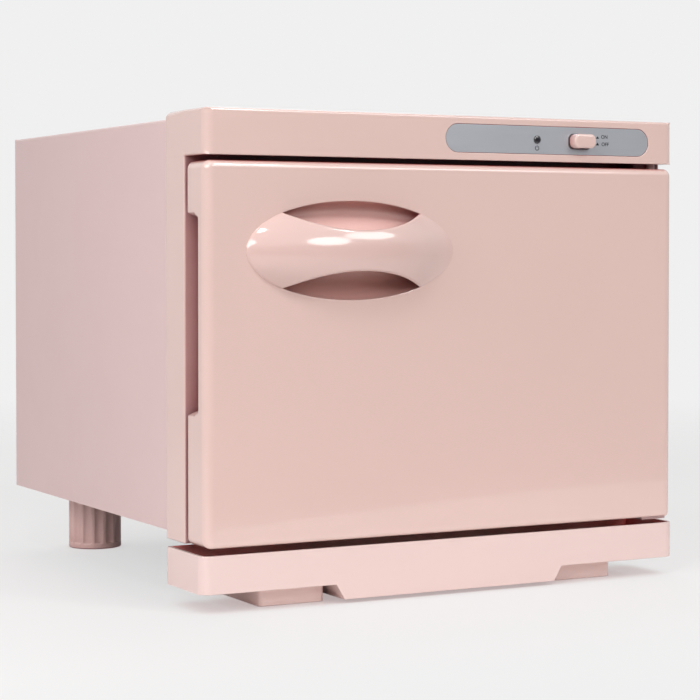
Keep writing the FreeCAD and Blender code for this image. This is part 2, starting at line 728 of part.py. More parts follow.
def make_controls():
    """Metal plate in the header, lamp and slide switch with its knob."""
    plate = stadium("plate_blank", "plate_length", "plate_height", "plate_x", "plate_z",
                    "front + plate_seat - plate_sheet", "plate_sheet")
    lamp_gap = rod(
        "plate_lamp_hole", "Y", "lamp_radius", "plate_sheet + 2", "lamp_x", "front - 1", "plate_z",
    )
    finish(
        cut("plate", plate, lamp_gap, stem_slot("plate_slot", "front - 1", "front + 1")), "control_plate",
    )

    lens_radius = "lamp_radius - fit_gap / 2"
    lens_shaft = rod(
        "lens_shaft",
        "Y",
        lens_radius,
        "lamp_rise + wall + lens_reach",
        "lamp_x",
        "front - lamp_rise",
        "plate_z",
    )
    finish(lens_shaft, "lamp_lens")
    holder = rod(
        "holder_body", "Y", "lamp_holder_radius", "lamp_holder_length", "lamp_x", "front + wall", "plate_z",
    )
    socket = rod("holder_socket", "Y", "lamp_radius", "lens_reach", "lamp_x", "front + wall", "plate_z")
    finish(cut("holder", holder, socket), "lamp_holder")

    centre = "knob_z + switch_travel / 2"
    case = box(
        "switch_case",
        ("knob_x - switch_width / 2", "knob_x + switch_width / 2"),
        ("front + wall", "front + wall + switch_depth"),
        (f"{centre} - switch_height / 2", f"{centre} + switch_height / 2"),
    )
    finish(
        cut("switch", case, stem_slot("switch_well", "front", "front + stem_reach + stem_end_gap")),
        "switch_body",
    )

    cap = block(
        "knob_cap",
        ("knob_x - knob_length / 2", "knob_x + knob_length / 2"),
        ("front - knob_rise", "front - plate_sheet + plate_seat - running_gap"),
        ("knob_z - knob_height / 2", "knob_z + knob_height / 2"),
        ("Y", ((-1, -1), (-1, 1), (1, -1), (1, 1)), "knob_radius"),
    )
    stem = box(
        "knob_stem",
        ("knob_x - stem_length / 2", "knob_x + stem_length / 2"),
        ("front - knob_rise / 2", "front + stem_reach"),
        ("knob_z - stem_height / 2", "knob_z + stem_height / 2"),
    )
    finish(fuse("knob", cap, stem), "switch_knob")


# --- Hinges and catch -----------------------------------------------------------------------


def make_hinges():
    """Upper bracket inside the header with its pin down, lower bracket under the bezel with its pin up."""
    across = ("hinge_x - bracket_width / 2", "hinge_x + bracket_width / 2 - wall")
    low, high = bracket_screw_spots()
    hole_radius = "panel_screw_radius + screw_gap"

    floor = "header_low + wall"
    plate = box(
        "upper_plate",
        across,
        ("hinge_y - bracket_nose", "hinge_y + bracket_reach"),
        (floor, f"{floor} + bracket_sheet"),
    )
    pin = rod("upper_pin", "Z", "pin_radius", "door_gap + wall + bush_length - 1 + bracket_sheet / 2",
              "hinge_x", "hinge_y", "door_top - bush_length + 1")
    holes = [
        rod(f"upper_hole_{number}", "Z", hole_radius, "bracket_sheet + 2", x, y, f"{floor} - 1")
        for number, (x, y) in enumerate(high)
    ]
    finish(cut("upper_bracket", fuse("upper_bent", plate, pin), *holes), "hinge_bracket_upper")

    plate = box(
        "lower_plate",
        across,
        ("hinge_y - bracket_nose", "bezel_back - bracket_tail"),
        ("bezel_low - bracket_sheet", "bezel_low"),
    )
    pin = rod("lower_pin", "Z", "pin_radius", "bracket_sheet / 2 + door_step + bush_length - 1",
              "hinge_x", "hinge_y", "bezel_low - bracket_sheet / 2")
    holes = [
        rod(
            f"lower_hole_{number}",
            "Z",
            hole_radius,
            "bracket_sheet + 2",
            x,
            y,
            "bezel_low - bracket_sheet - 1",
        )
        for number, (x, y) in enumerate(low)
    ]
    finish(cut("lower_bracket", fuse("lower_bent", plate, pin), *holes), "hinge_bracket_lower")

    screws = []
    for number, (x, y) in enumerate(low):
        seat = "bezel_low - bracket_sheet"
        head = rod(f"low_head_{number}", "Z", "panel_head_radius", "panel_head_height / 2",
                   x, y, f"{seat} - panel_head_height / 2")
        shank = rod(f"low_shank_{number}", "Z", "panel_screw_radius", "panel_screw_length", x, y, seat)
        screws.append(fuse(f"low_screw_{number}", head, shank))
    for number, (x, y) in enumerate(high):
        seat = "header_low + wall + bracket_sheet"
        head = rod(f"high_head_{number}", "Z", "panel_head_radius", "panel_head_height", x, y, seat)
        shank = rod(f"high_shank_{number}", "Z", "panel_screw_radius", "bracket_sheet + wall",
                    x, y, "header_low")
        screws.append(fuse(f"high_screw_{number}", head, shank))
    finish(group("bracket_screws", screws), "hinge_screws")

    for end, start in (("upper", "door_top - bush_length"), ("lower", "door_low")):
        sleeve = rod(f"{end}_sleeve", "Z", "bush_radius", "bush_length", "hinge_x", "hinge_y", start)
        bore = rod(f"{end}_bore", "Z", "pin_radius + pin_clearance", "bush_length + 2",
                   "hinge_x", "hinge_y", f"{start} - 1")
        finish(cut(f"{end}_bush", sleeve, bore), f"hinge_bush_{end}")


def catch_block(name, margin, near, far):
    """Upright block at the catch, grown by a margin."""
    return box(
        name,
        (f"catch_x - magnet_width / 2 - {margin}", f"catch_x + magnet_width / 2 + {margin}"),
        (near, far),
        (f"catch_z - magnet_height / 2 - {margin}", f"catch_z + magnet_height / 2 + {margin}"),
    )


def make_catch():
    """Magnet held in the bezel face by a collar, and the steel strike plate on the door liner."""
    body = catch_block("magnet_body", "0", "magnet_front", "magnet_front + magnet_depth")
    collar = catch_block("magnet_collar", "2 * fit_gap + 1.5", "rail_inner", "rail_inner + 2")
    finish(fuse("magnet", body, collar), "catch_magnet")
    finish(catch_block("strike", "1", "door_back", "door_back + strike_sheet"), "strike_plate")


# --- Chamber --------------------------------------------------------------------------------


def span_from(outer, inner, sign):
    """Two formulas in rising order: the outer one is the lower on the left side."""
    return (outer, inner) if sign < 0 else (inner, outer)


def make_chamber():
    """Aluminium box open to the front, flanged against the bezel, wrapped in insulation."""
    skin = "mouth_half + chamber_sheet"
    low, high = "mouth_low - chamber_sheet", "mouth_top + chamber_sheet"
    outside = box(
        "chamber_outside",
        (f"-({skin})", skin),
        ("rail_inner", "chamber_back + chamber_sheet"),
        (low, high),
    )
    rim = "mouth_half + chamber_flange"
    flange = box(
        "chamber_rim", (f"-({rim})", rim), ("rail_inner", "rail_inner + chamber_sheet"),
        ("mouth_low - chamber_flange", "mouth_top + chamber_flange"),
    )
    inside = box("chamber_inside", ("-mouth_half", "mouth_half"), ("rail_inner - 1", "chamber_back"),
                 ("mouth_low", "mouth_top"))
    finish(cut("chamber", fuse("chamber_drawn", outside, flange), inside), "inner_chamber")

    cover = f"{skin} + lagging"
    wrap = box("lagging_outside", (f"-({cover})", cover),
               ("lagging_front", "chamber_back + chamber_sheet + lagging"), (low, f"{high} + lagging"))
    core = box("lagging_inside", (f"-({skin})", skin), ("rail_inner", "chamber_back + chamber_sheet"),
               (f"{low} - 1", high))
    finish(cut("lagging_wrap", wrap, core), "chamber_insulation")

    ledges = []
    run = ("rail_inner + ledge_end", "chamber_back - ledge_end")
    for side, sign in SIDES:
        shelf_span = span_from(f"{sign} * mouth_half", f"{sign} * (mouth_half - ledge_width)", sign)
        leg_span = span_from(f"{sign} * mouth_half", f"{sign} * (mouth_half - chamber_sheet)", sign)
        shelf = box(f"ledge_shelf_{side}", shelf_span, run, ("ledge_top - chamber_sheet", "ledge_top"))
        upright = box(f"ledge_leg_{side}", leg_span, run, ("ledge_top - ledge_leg", "ledge_top"))
        ledges.append(fuse(f"ledge_{side}", shelf, upright))
    finish(group("ledges", ledges), "rack_ledges")


def make_heater():
    """Heater mat under the chamber floor, its shield, the thermostat and the thermal fuse."""
    mat = box(
        "mat", ("-heater_half", "heater_half"), ("heater_front", "heater_back"),
        ("heater_low", "heater_low + heater_sheet"),
    )
    finish(mat, "heater_mat")
    rim = "heater_half + shield_margin"
    run = ("heater_front - shield_margin", "heater_back + shield_margin")
    plate = box("shield_plate", (f"-({rim})", rim), run, ("shield_low", "heater_low"))
    edge = "heater_half + shield_margin / 2"
    rise = ("heater_low", "heater_low + heater_sheet")
    rims = [
        box("shield_rim_left", (f"-({rim})", f"-({edge})"), run, rise),
        box("shield_rim_right", (edge, rim), run, rise),
    ]
    finish(fuse("shield", plate, *rims), "heat_shield")

    disc = rod("thermostat_disc", "Z", "thermostat_radius", "thermostat_height / 3",
               "thermostat_x", "heater_y", "shield_low - thermostat_height / 3")
    cap = rod("thermostat_cap", "Z", "thermostat_radius * 0.85", "thermostat_height",
              "thermostat_x", "heater_y", "shield_low - thermostat_height")
    finish(fuse("thermostat_body", disc, cap), "thermostat")

    pill = rod("fuse_pill", "X", "fuse_radius", "fuse_length",
               "fuse_x - fuse_length / 2", "heater_y", "shield_low - fuse_radius")
    strap = box(
        "fuse_strap", ("fuse_x - fuse_radius", "fuse_x + fuse_radius"),
        (
            "heater_y - 2 * fuse_radius", "heater_y + 2 * fuse_radius",
        ), ("shield_low - fuse_radius", "shield_low"),
    )
    finish(fuse("fuse_clip", pill, strap), "thermal_fuse")


def make_rack():
    """Removable wire rack: a frame of thicker wire with thinner wires from front to back."""
    run = "rack_back - rack_front"
    ends = "rack_half + frame_wire"
    bars = [
        rod("rack_wire_front", "X", "frame_wire", f"2 * ({ends})", f"-({ends})", "rack_front", "rack_z"),
        rod("rack_wire_back", "X", "frame_wire", f"2 * ({ends})", f"-({ends})", "rack_back", "rack_z"),
    ]
    for side, sign in SIDES:
        bars.append(
            rod(f"rack_wire_{side}", "Y", "side_wire", run, f"{sign} * rack_half", "rack_front", "rack_z")
        )
    count = int(sizes.get("wire_count"))
    for number in range(1, count + 1):
        x = f"rack_half * (2 * {number} / (wire_count + 1) - 1)"
        bars.append(rod(f"rack_cross_{number}", "Y", "cross_wire", run, x, "rack_front", "rack_z"))
    finish(fuse("rack", *bars), "wire_rack")


# --- Wiring ---------------------------------------------------------------------------------


def lead(name, radius, points):
    """Insulated lead along straight runs, each along one axis, with a ball at every bend."""
    pieces = []
    for number, (start, end, axis, length) in enumerate(points):
        pieces.append(rod(f"{name}_run_{number}", axis, radius, length, *start))
        if end is not None:
            ball = doc.addObject("Part::Sphere", f"{name}_bend_{number}")
            pieces.append(place(bind(ball, Radius=radius), *end))
    return fuse(name, *pieces)


def make_wiring():
    """Terminal block on the base plate, leads to thermostat, switch and lamp, and the cord gland."""
    block_top = "base_top + terminal_height"
    body = box(
        "terminal_body",
        ("terminal_x - terminal_width / 2", "terminal_x + terminal_width / 2"),
        ("terminal_y - terminal_depth / 2", "terminal_y + terminal_depth / 2"),
        ("base_top", block_top),
    )
    wells = [
        rod(f"terminal_well_{number}_{row}", "Z", "well_radius", "terminal_height / 2 + 1",
            f"terminal_x + {number - 1} * terminal_width / 3", f"terminal_y + {sign} * terminal_depth / 4",
            f"{block_top} - terminal_height / 2")
        for number in range(3)
        for row, sign in enumerate((-1, 1))
    ]
    finish(cut("terminal", body, *wells), "terminal_block")

    low_z = "base_top + terminal_height / 3"
    heat = rod("heat_lead", "Y", "lead_radius", "terminal_y - terminal_depth / 2 - heater_y",
               "terminal_x - terminal_width / 3", "heater_y", low_z)
    across = rod("heat_lead_across", "X", "lead_radius",
                 "terminal_x - terminal_width / 3 - thermostat_x - thermostat_radius * 0.85",
                 "thermostat_x + thermostat_radius * 0.85", "heater_y", low_z)
    bend = doc.addObject("Part::Sphere", "heat_lead_bend")
    place(bind(bend, Radius="lead_radius"), "terminal_x - terminal_width / 3", "heater_y", low_z)
    heat_lead = fuse("heat_wire", heat, across, bend)

    switch_back = "front + wall + switch_depth"
    x = "terminal_x"
    supply = lead("supply_wire", "lead_radius", [
        ((x, "terminal_y", block_top), (x, "terminal_y", "lead_z"), "Z", f"lead_z - ({block_top})"),
        ((x, "terminal_y", "lead_z"), ("knob_x", "terminal_y", "lead_z"), "X", f"knob_x - {x}"),
        (("knob_x", switch_back, "lead_z"), None, "Y", f"terminal_y - ({switch_back})"),
    ])
    lamp_end = "front + wall + lamp_holder_length"
    turn = f"{switch_back} + lead_turn"
    beside = "knob_x - switch_width / 4"
    jumper = lead("lamp_wire", "lead_radius / 2", [
        (("lamp_x", lamp_end, "plate_z"), ("lamp_x", turn, "plate_z"), "Y", f"{turn} - ({lamp_end})"),
        (("lamp_x", turn, "plate_z"), (beside, turn, "plate_z"), "X", f"{beside} - lamp_x"),
        ((beside, switch_back, "plate_z"), None, "Y", "lead_turn"),
    ])
    finish(group("leads", [heat_lead, supply, jumper]), "wiring_leads")

    collar = rod("gland_collar", "Y", "gland_flange_radius", "gland_flange", "gland_x", "back", "gland_z")
    body = rod("gland_body", "Y", "gland_radius", "gland_length + sheet + gland_flange / 2",
               "gland_x", "panel_front - gland_length", "gland_z")
    bore = rod("gland_bore", "Y", "cord_bore", "gland_length + sheet + gland_flange + 2",
               "gland_x", "panel_front - gland_length - 1", "gland_z")
    finish(cut("gland", fuse("gland_solid", collar, body), bore), "cord_gland")


# --- Feet -----------------------------------------------------------------------------------


def make_front_feet():
    """Foot with a toe under the drip tray and a post behind it up to the base plate."""
    for side, sign in SIDES:
        toe, post = "front + toe_set", "front + post_set"
        heel = f"{post} + post_depth"
        outline = (
            (toe, "0"),
            (heel, "0"),
            (heel, "leg_height"),
            (post, "leg_height"),
            (post, "toe_top"),
            (toe, "toe_top"),
        )
        left = f"{sign} * foot_x - foot_width / 2"
        profile = prism(f"foot_profile_{side}", "X", outline, left, "foot_width")
        plan = block(
            f"foot_plan_{side}", (left, f"{left} + foot_width"), (toe, heel), ("0", "leg_height"),
            ("Z", FRONT_CORNERS, "foot_radius"),
        )
        recess = rod(f"foot_recess_{side}", "Z", "foot_bore_radius", "foot_bore_depth + 1",
                     f"{sign} * foot_x", "post_y", "-1")
        hole = rod(f"foot_hole_{side}", "Z", "foot_screw_radius + screw_gap", "leg_height + 2",
                   f"{sign} * foot_x", "post_y", "-1")
        finish(
            cut(f"foot_{side}", common(f"foot_solid_{side}", profile, plan), recess, hole),
            f"front_foot_{side}",
        )


def make_rear_feet():
    """Round foot with flutes above a plain ring, one pocket patterned round the axis."""
    for side, sign in SIDES:
        body = doc.addObject("PartDesign::Body", f"rear_foot_body_{side}")
        plane = [item for item in body.Origin.OriginFeatures if item.Role == "XY_Plane"][0]
        axis = [item for item in body.Origin.OriginFeatures if item.Role == "Z_Axis"][0]
        post = body.newObject("PartDesign::AdditiveCylinder", f"rear_post_{side}")
        bind(post, Radius="rear_foot_radius", Height="leg_height")
        doc.recompute()
        sketch = body.newObject("Sketcher::SketchObject", f"flute_sketch_{side}")
        sketch.AttachmentSupport = [(plane, "")]
        sketch.MapMode = "FlatFace"
        bind(sketch, **{"AttachmentOffset.Base.z": "rear_foot_ring"})
        reach = sizes.get("rear_foot_radius") + sizes.get("flute_radius") - sizes.get("flute_bite")
        sketch.addGeometry(
            Part.Circle(FreeCAD.Vector(reach, 0, 0), FreeCAD.Vector(0, 0, 1), sizes.get("flute_radius")),
            False,
        )
        radius = sketch.addConstraint(Sketcher.Constraint("Radius", 0, sizes.get("flute_radius")))
        centre = sketch.addConstraint(Sketcher.Constraint("DistanceX", -1, 1, 0, 3, reach))
        sketch.addConstraint(Sketcher.Constraint("PointOnObject", 0, 3, -1))
        sketch.setExpression(f"Constraints[{radius}]", "sizes.flute_radius")
        text = "rear_foot_radius + flute_radius - flute_bite"
        sketch.setExpression(f"Constraints[{centre}]", qualified(text, known))
        flute = body.newObject("PartDesign::Pocket", f"flute_{side}")
        flute.Profile = sketch
        flute.Reversed = True
        bind(flute, Length="leg_height")
        doc.recompute()
        ring = body.newObject("PartDesign::PolarPattern", f"flutes_{side}")
        ring.Originals = [flute]
        ring.Axis = (axis, [""])
        ring.Angle = 360
        bind(ring, Occurrences="flute_count")
        body.Tip = ring
        place(body, f"{sign} * rear_foot_x", "rear_foot_y", "0")
        recess = rod(f"rear_recess_{side}", "Z", "foot_bore_radius", "foot_bore_depth + 1",
                     f"{sign} * rear_foot_x", "rear_foot_y", "-1")
        hole = rod(f"rear_hole_{side}", "Z", "foot_screw_radius + screw_gap", "leg_height + 2",
                   f"{sign} * rear_foot_x", "rear_foot_y", "-1")
        finish(cut(f"rear_foot_cut_{side}", body, recess, hole), f"rear_foot_{side}")


def make_foot_screws():
    """Screw from below in each foot, its head seated in the recess."""
    screws = []
    for number, (x, y) in enumerate(foot_screw_spots()):
        head = rod(f"foot_head_{number}", "Z", "foot_head_radius", "foot_head_height",
                   x, y, "foot_bore_depth - foot_head_height")
        length = "base_top + foot_screw_reach - foot_bore_depth + 1"
        shank = rod(f"foot_shank_{number}", "Z", "foot_screw_radius", length, x, y, "foot_bore_depth - 1")
        screws.append(fuse(f"foot_screw_{number}", head, shank))
    finish(group("foot_screw_set", screws), "foot_screws")


# --- Drip tray ------------------------------------------------------------------------------


def make_drip_tray():
    """Shallow tray across the front with a deeper trough between the front feet."""
    half = "tray_half"
    rear = "front + tray_depth"
    pan = block("tray_pan", (f"-{half}", half), ("front", rear), ("tray_low", "tray_top"),
                ("Z", FRONT_CORNERS, "tray_radius"))
    top, low = "trough_half", "trough_half - trough_taper"
    trough = prism(
        "tray_trough", "Y",
        (
            (f"-({low})", "trough_low"),
            (low, "trough_low"),
            (top, "tray_low + tray_wall"),
            (f"-({top})", "tray_low + tray_wall"),
        ),
        "front", "tray_depth",
    )
    inner = f"{half} - tray_wall"
    well = block("tray_well", (f"-({inner})", inner), ("front + tray_wall", f"{rear} - tray_wall"),
                 ("tray_low + tray_wall", "tray_top + 1"), ("Z", FRONT_CORNERS, "tray_radius - tray_wall"))
    deep = "trough_low + tray_wall"
    inner_top, inner_low = f"{top} - tray_wall", f"{low} - tray_wall"
    trench = prism(
        "tray_trench", "Y",
        ((f"-({inner_low})", deep), (inner_low, deep), (inner_top, "tray_low + tray_wall + 1"),
         (f"-({inner_top})", "tray_low + tray_wall + 1")),
        "front + tray_wall", "tray_depth - 2 * tray_wall",
    )
    finish(cut("tray", fuse("tray_solid", pan, trough), well, trench), "drip_tray")


# --- Door -----------------------------------------------------------------------------------


def liner_screw_spots():
    """Four screws that hold the liner to posts of the door shell."""
    return [
        (f"{sign} * (side - liner_screw_inset)", height)
        for sign in (-1, 1)
        for height in ("door_low + liner_screw_end", "door_top - liner_screw_end")
    ]


def notch_block(name, margin):
    """Block at the finger notch, grown by a margin on its hidden sides."""
    return box(
        name,
        (f"-side + wall / 2 - 4 * {int(margin == '0')}", f"notch_reach - side + {margin}"),
        (f"door_back - notch_depth - ({margin})", f"door_back + {int(margin == '0')}"),
        (f"notch_low - ({margin})", f"notch_top + {margin}"),
    )


def make_door_shell():
    """Moulded front with rounded edges, finger notch, hinge bosses and the domed handle bar."""
    across, deep, rise = ("-side", "side"), ("front", "door_back"), ("door_low", "door_top")
    seen = block("door_seen", across, deep, rise,
                 ("Y", ((-1, 1), (1, 1)), "door_top_corner"), ("Y", ((-1, -1), (1, -1)), "door_low_corner"))
    plan = block("door_plan", across, deep, rise, ("Z", FRONT_CORNERS, "corner_radius"))
    profile = block("door_profile", across, deep, rise,
                    ("X", ((-1, 1),), "door_top_radius"), ("X", ((-1, -1),), "door_low_radius"))
    hollow = box("door_hollow", ("wall - side", "side - wall"), ("front + wall", "door_back + 1"),
                 ("door_low + wall", "door_top - wall"))
    shell = cut("door_pan", common("door_block", seen, plan, profile), hollow)

    bosses = [
        rod(
            "boss_upper",
            "Z",
            "boss_radius",
            "bush_length + wall",
            "hinge_x",
            "hinge_y",
            "door_top - bush_length - wall",
        ),
        rod("boss_lower", "Z", "boss_radius", "bush_length + wall", "hinge_x", "hinge_y", "door_low"),
    ]
    posts = [
        rod(f"liner_post_{number}", "Y", "panel_head_radius + 0.5", "door_depth - liner_sheet - wall / 2",
            x, "front + wall / 2", z)
        for number, (x, z) in enumerate(liner_screw_spots())
    ]
    bores = [
        rod(
            "boss_bore_upper",
            "Z",
            "bush_radius + bush_seat",
            "bush_length + 1",
            "hinge_x",
            "hinge_y",
            "door_top - bush_length",
        ),
        rod(
            "boss_bore_lower",
            "Z",
            "bush_radius + bush_seat",
            "bush_length + 1",
            "hinge_x",
            "hinge_y",
            "door_low - 1",
        ),
    ]
    pilots = [
        rod(f"liner_pilot_{number}", "Y", "panel_screw_radius + screw_gap", "panel_screw_length + 1",
            x, "door_back - panel_screw_length - 1", z)
        for number, (x, z) in enumerate(liner_screw_spots())
    ]
    at = ("grip_x", "front + grip_sink", "grip_z")
    fore = box(
        "grip_fore", ("grip_x - grip_half_length - 1", "grip_x + grip_half_length + 1"),
        ("front - grip_rise - 1", "front + wall / 2"), (
            "grip_z - grip_half_height - 1", "grip_z + grip_half_height + 1",
        ),
    )
    bulge = ellipsoid("grip_outer", "dome_half_length", "dome_depth", "dome_half_height", *at)
    dome = common("grip_dome", bulge, fore)
    hole = ellipsoid("grip_inner", "dome_half_length - grip_skin", "dome_depth - grip_skin",
                     "dome_half_height - grip_skin", *at)
    outline = oval("grip_outline", "grip_half_length + lens_margin", "grip_half_height + lens_margin",
                   "2 * grip_rise", "grip_x", "front + wall + 1 - 2 * grip_rise", "grip_z")
    arcs = [
        rod(f"grip_arc_{number}", "Y", "bar_arc_radius", "3 * grip_rise",
            "grip_x", "front - 2 * grip_rise", f"grip_z + {sign} * arc_centre")
        for number, sign in enumerate((-1, 1))
    ]
    lenses = common("grip_lenses", outline, fuse("grip_arcs", *arcs))
    stout = fuse("door_stout", shell, notch_block("notch_wall", "wall"), *bosses, *posts, dome)
    finish(cut("door", stout, notch_block("notch", "0"), *bores, *pilots, hole, lenses), "door_shell")


def make_handle_cup():
    """Flanged elliptical bowl behind the handle bar."""
    seat = "front + wall"
    at = ("grip_x", seat, "grip_z")
    outer = ellipsoid(
        "cup_outer",
        "grip_half_length + cup_wall",
        "cup_depth + cup_wall",
        "grip_half_height + cup_wall",
        *at,
    )
    behind = box(
        "cup_behind", ("grip_x - 2 * grip_half_length", "grip_x + 2 * grip_half_length"),
        (seat, f"{seat} + 2 * cup_depth"), (
            "grip_z - 2 * grip_half_height", "grip_z + 2 * grip_half_height",
        ),
    )
    bowl = common("cup_half", outer, behind)
    rim = oval("cup_rim", "grip_half_length + cup_flange", "grip_half_height + cup_flange", "cup_wall", *at)
    inside = ellipsoid("cup_inside", "grip_half_length", "cup_depth", "grip_half_height", *at)
    finish(cut("cup", fuse("cup_solid", bowl, rim), inside), "handle_cup")


def make_door_inside():
    """Liner, its screws, the foam behind the front and the gasket ring."""
    gap = "wall + fit_gap"
    plate = box("liner_plate", (f"{gap} - side", f"side - ({gap})"), ("door_back - liner_sheet", "door_back"),
                (f"door_low + {gap}", f"door_top - ({gap})"))
    holes = [
        rod(f"liner_hole_{number}", "Y", "panel_screw_radius + screw_gap", "liner_sheet + 2",
            x, "door_back - liner_sheet - 1", z)
        for number, (x, z) in enumerate(liner_screw_spots())
    ]
    finish(cut("liner", plate, notch_block("liner_notch", gap), *holes), "door_liner")

    screws = []
    for number, (x, z) in enumerate(liner_screw_spots()):
        head = rod(f"liner_head_{number}", "Y", "panel_head_radius", "panel_head_height", x, "door_back", z)
        shank = rod(f"liner_shank_{number}", "Y", "panel_screw_radius", "panel_screw_length + 0.5",
                    x, "door_back - panel_screw_length", z)
        screws.append(fuse(f"liner_screw_{number}", head, shank))
    finish(group("liner_screw_set", screws), "liner_screws")

    foam = box("foam_block", ("-mouth_half", "mouth_half"), ("front + wall", "door_back - liner_sheet"),
               ("mouth_low - foam_margin", "mouth_top + foam_margin"))
    margin = "cup_flange + foam_window_gap"
    window = box(
        "foam_window",
        (f"grip_x - grip_half_length - ({margin})", f"grip_x + grip_half_length + {margin}"),
        ("front", "door_back"),
        (f"grip_z - grip_half_height - ({margin})", f"grip_z + grip_half_height + {margin}"),
    )
    finish(cut("foam", foam, window), "door_insulation")

    low, high = "mouth_low - gasket_margin", "mouth_top + gasket_margin"
    y = ("door_back", "rail_face - running_gap")
    ring = box(
        "gasket_outside",
        ("-gasket_half", "gasket_half"),
        y,
        (f"{low} - gasket_width", f"{high} + gasket_width"),
    )
    inner = "gasket_half - gasket_width"
    hole = box("gasket_inside", (f"-({inner})", inner), ("door_back - 1", "rail_face"), (low, high))
    finish(cut("gasket", ring, hole), "door_gasket")


make_outer_case()
make_base_plate()
make_rear_panel()
make_panel_screws()
make_front_bezel()
make_controls()
make_hinges()
make_catch()
make_chamber()
make_heater()
make_rack()
make_wiring()
make_front_feet()
make_rear_feet()
make_foot_screws()
make_drip_tray()
make_door_shell()
make_handle_cup()
make_door_inside()
doc.recompute()

faults = []
for item in doc.Objects:
    if "Invalid" in item.State or "Error" in item.State:
        faults.append(f"{item.Label}: {item.State}")
for piece in parts:
    if piece.Shape.isNull() or not piece.Shape.isValid() or not piece.Shape.Solids:
        faults.append(f"{piece.Label}: no valid solid")
if faults:
    raise RuntimeError("; ".join(faults))

os.makedirs("parts", exist_ok=True)
for piece in parts:
    piece.Shape.exportStep(os.path.join("parts", piece.Label + ".step"))
    print(f"{piece.Label}: {len(piece.Shape.Solids)} solid(s), {piece.Shape.Volume / 1000:.2f} cm3")
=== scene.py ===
import math

import bmesh
import bpy
import numpy as np
from mathutils import Matrix, Vector
from mathutils.geometry import tessellate_polygon


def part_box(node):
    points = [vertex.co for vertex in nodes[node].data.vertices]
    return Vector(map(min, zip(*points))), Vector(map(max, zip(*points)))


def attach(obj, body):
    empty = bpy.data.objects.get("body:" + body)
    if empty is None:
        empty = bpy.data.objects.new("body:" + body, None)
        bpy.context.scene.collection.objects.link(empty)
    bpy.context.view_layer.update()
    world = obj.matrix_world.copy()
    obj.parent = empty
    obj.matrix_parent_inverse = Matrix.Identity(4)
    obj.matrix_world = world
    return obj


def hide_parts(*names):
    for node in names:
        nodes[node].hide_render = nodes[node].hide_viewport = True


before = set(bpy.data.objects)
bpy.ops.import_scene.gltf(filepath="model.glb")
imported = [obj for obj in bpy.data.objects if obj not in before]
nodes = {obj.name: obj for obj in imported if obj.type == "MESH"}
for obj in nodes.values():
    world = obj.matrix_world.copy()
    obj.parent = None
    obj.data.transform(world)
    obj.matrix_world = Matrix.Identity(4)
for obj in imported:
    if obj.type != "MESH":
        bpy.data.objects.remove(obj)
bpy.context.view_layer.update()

scene = bpy.context.scene
mm = 0.001
hair, fine = 0.02 * mm, 0.03 * mm  # least radii and steps, so that no two points fall together


def sized(**sizes):
    # Sizes given in millimetres, kept in metres
    return {key: value * mm for key, value in sizes.items()}


# Places read from the solids, in metres. Gaps: door to header, seal to frame, and what the fascia
# leaves bare of its solid at the right end and at the top
gaps = sized(doorTop=2.9, gasketRear=0.3, fasciaEnd=1.2, fasciaTop=0.6)
bezelLow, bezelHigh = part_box("front_bezel")
caseLow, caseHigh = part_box("outer_case")
doorLow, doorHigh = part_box("door_shell")
cupLow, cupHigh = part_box("handle_cup")
plateLow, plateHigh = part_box("control_plate")
plateHigh = plateHigh - Vector((gaps["fasciaEnd"], 0, gaps["fasciaTop"]))
knobLow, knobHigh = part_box("switch_knob")
lampLow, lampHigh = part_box("lamp_lens")
trayLow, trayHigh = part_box("drip_tray")
gasketLow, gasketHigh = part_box("door_gasket")
frontY = bezelLow.y
side = bezelHigh.x
headerLow = doorHigh.z + gaps["doorTop"]
faceY = gasketHigh.y + gaps["gasketRear"]
gripX, gripZ = (cupLow.x + cupHigh.x) / 2, (cupLow.z + cupHigh.z) / 2
lampX, lampZ = (lampLow.x + lampHigh.x) / 2, (lampLow.z + lampHigh.z) / 2
print("frame loaded:", len(nodes), "solids' nodes")


# Shape helpers
def ellipse(angle, across=1, up=1):
    # Points (across cos, up sin) at the angles given
    return np.stack([across * np.cos(angle), up * np.sin(angle)], 1)


def roundLoop(left, right, low, high, radii, steps=8, between=(0, 0, 0, 0)):
    # Rounded rectangle, counter-clockwise from the right: quarter circles of the four radii
    # (top right, top left, low left, low right), then straight points up to the next corner
    corners = ((right, high, -1, -1), (left, high, 1, -1), (left, low, 1, 1), (right, low, -1, 1))
    turns = np.linspace(0, np.pi / 2, steps + 1)
    arcs, aims = [], []
    for k, (x, z, toX, toZ) in enumerate(corners):
        aim = ellipse(turns + k * np.pi / 2)
        arcs.append(np.array([x + toX * radii[k], z + toZ * radii[k]]) + radii[k] * aim)
        aims.append(aim)
    points, outward = [], []
    for k in range(4):
        extra = np.linspace(arcs[k][-1], arcs[(k + 1) % 4][0], between[k] + 2)[1:-1]
        points += [arcs[k], extra]
        outward += [aims[k], np.tile(aims[k][-1], (between[k], 1))]
    return np.concatenate(points), np.concatenate(outward)


def insetLoop(span, radii, edges=(0, 0, 0, 0), steps=8, between=(0, 0, 0, 0)):
    # Points of a rounded rectangle drawn in from each side (top, left, bottom, right)
    left, right, low, high = span
    span = (left + edges[1], right - edges[3], low + edges[2], high - edges[0])
    return roundLoop(*span, radii, steps, between)[0]


def alongSides(values, steps=8, between=(0, 0, 0, 0)):
    # One number per side (top, left, bottom, right), eased round the corners by sin squared
    ease = np.sin(np.linspace(0, np.pi / 2, steps + 1)) ** 2
    parts = []
    for k in range(4):
        parts += [values[k - 1] + (values[k] - values[k - 1]) * ease, np.full(between[k], values[k])]
    return np.concatenate(parts)


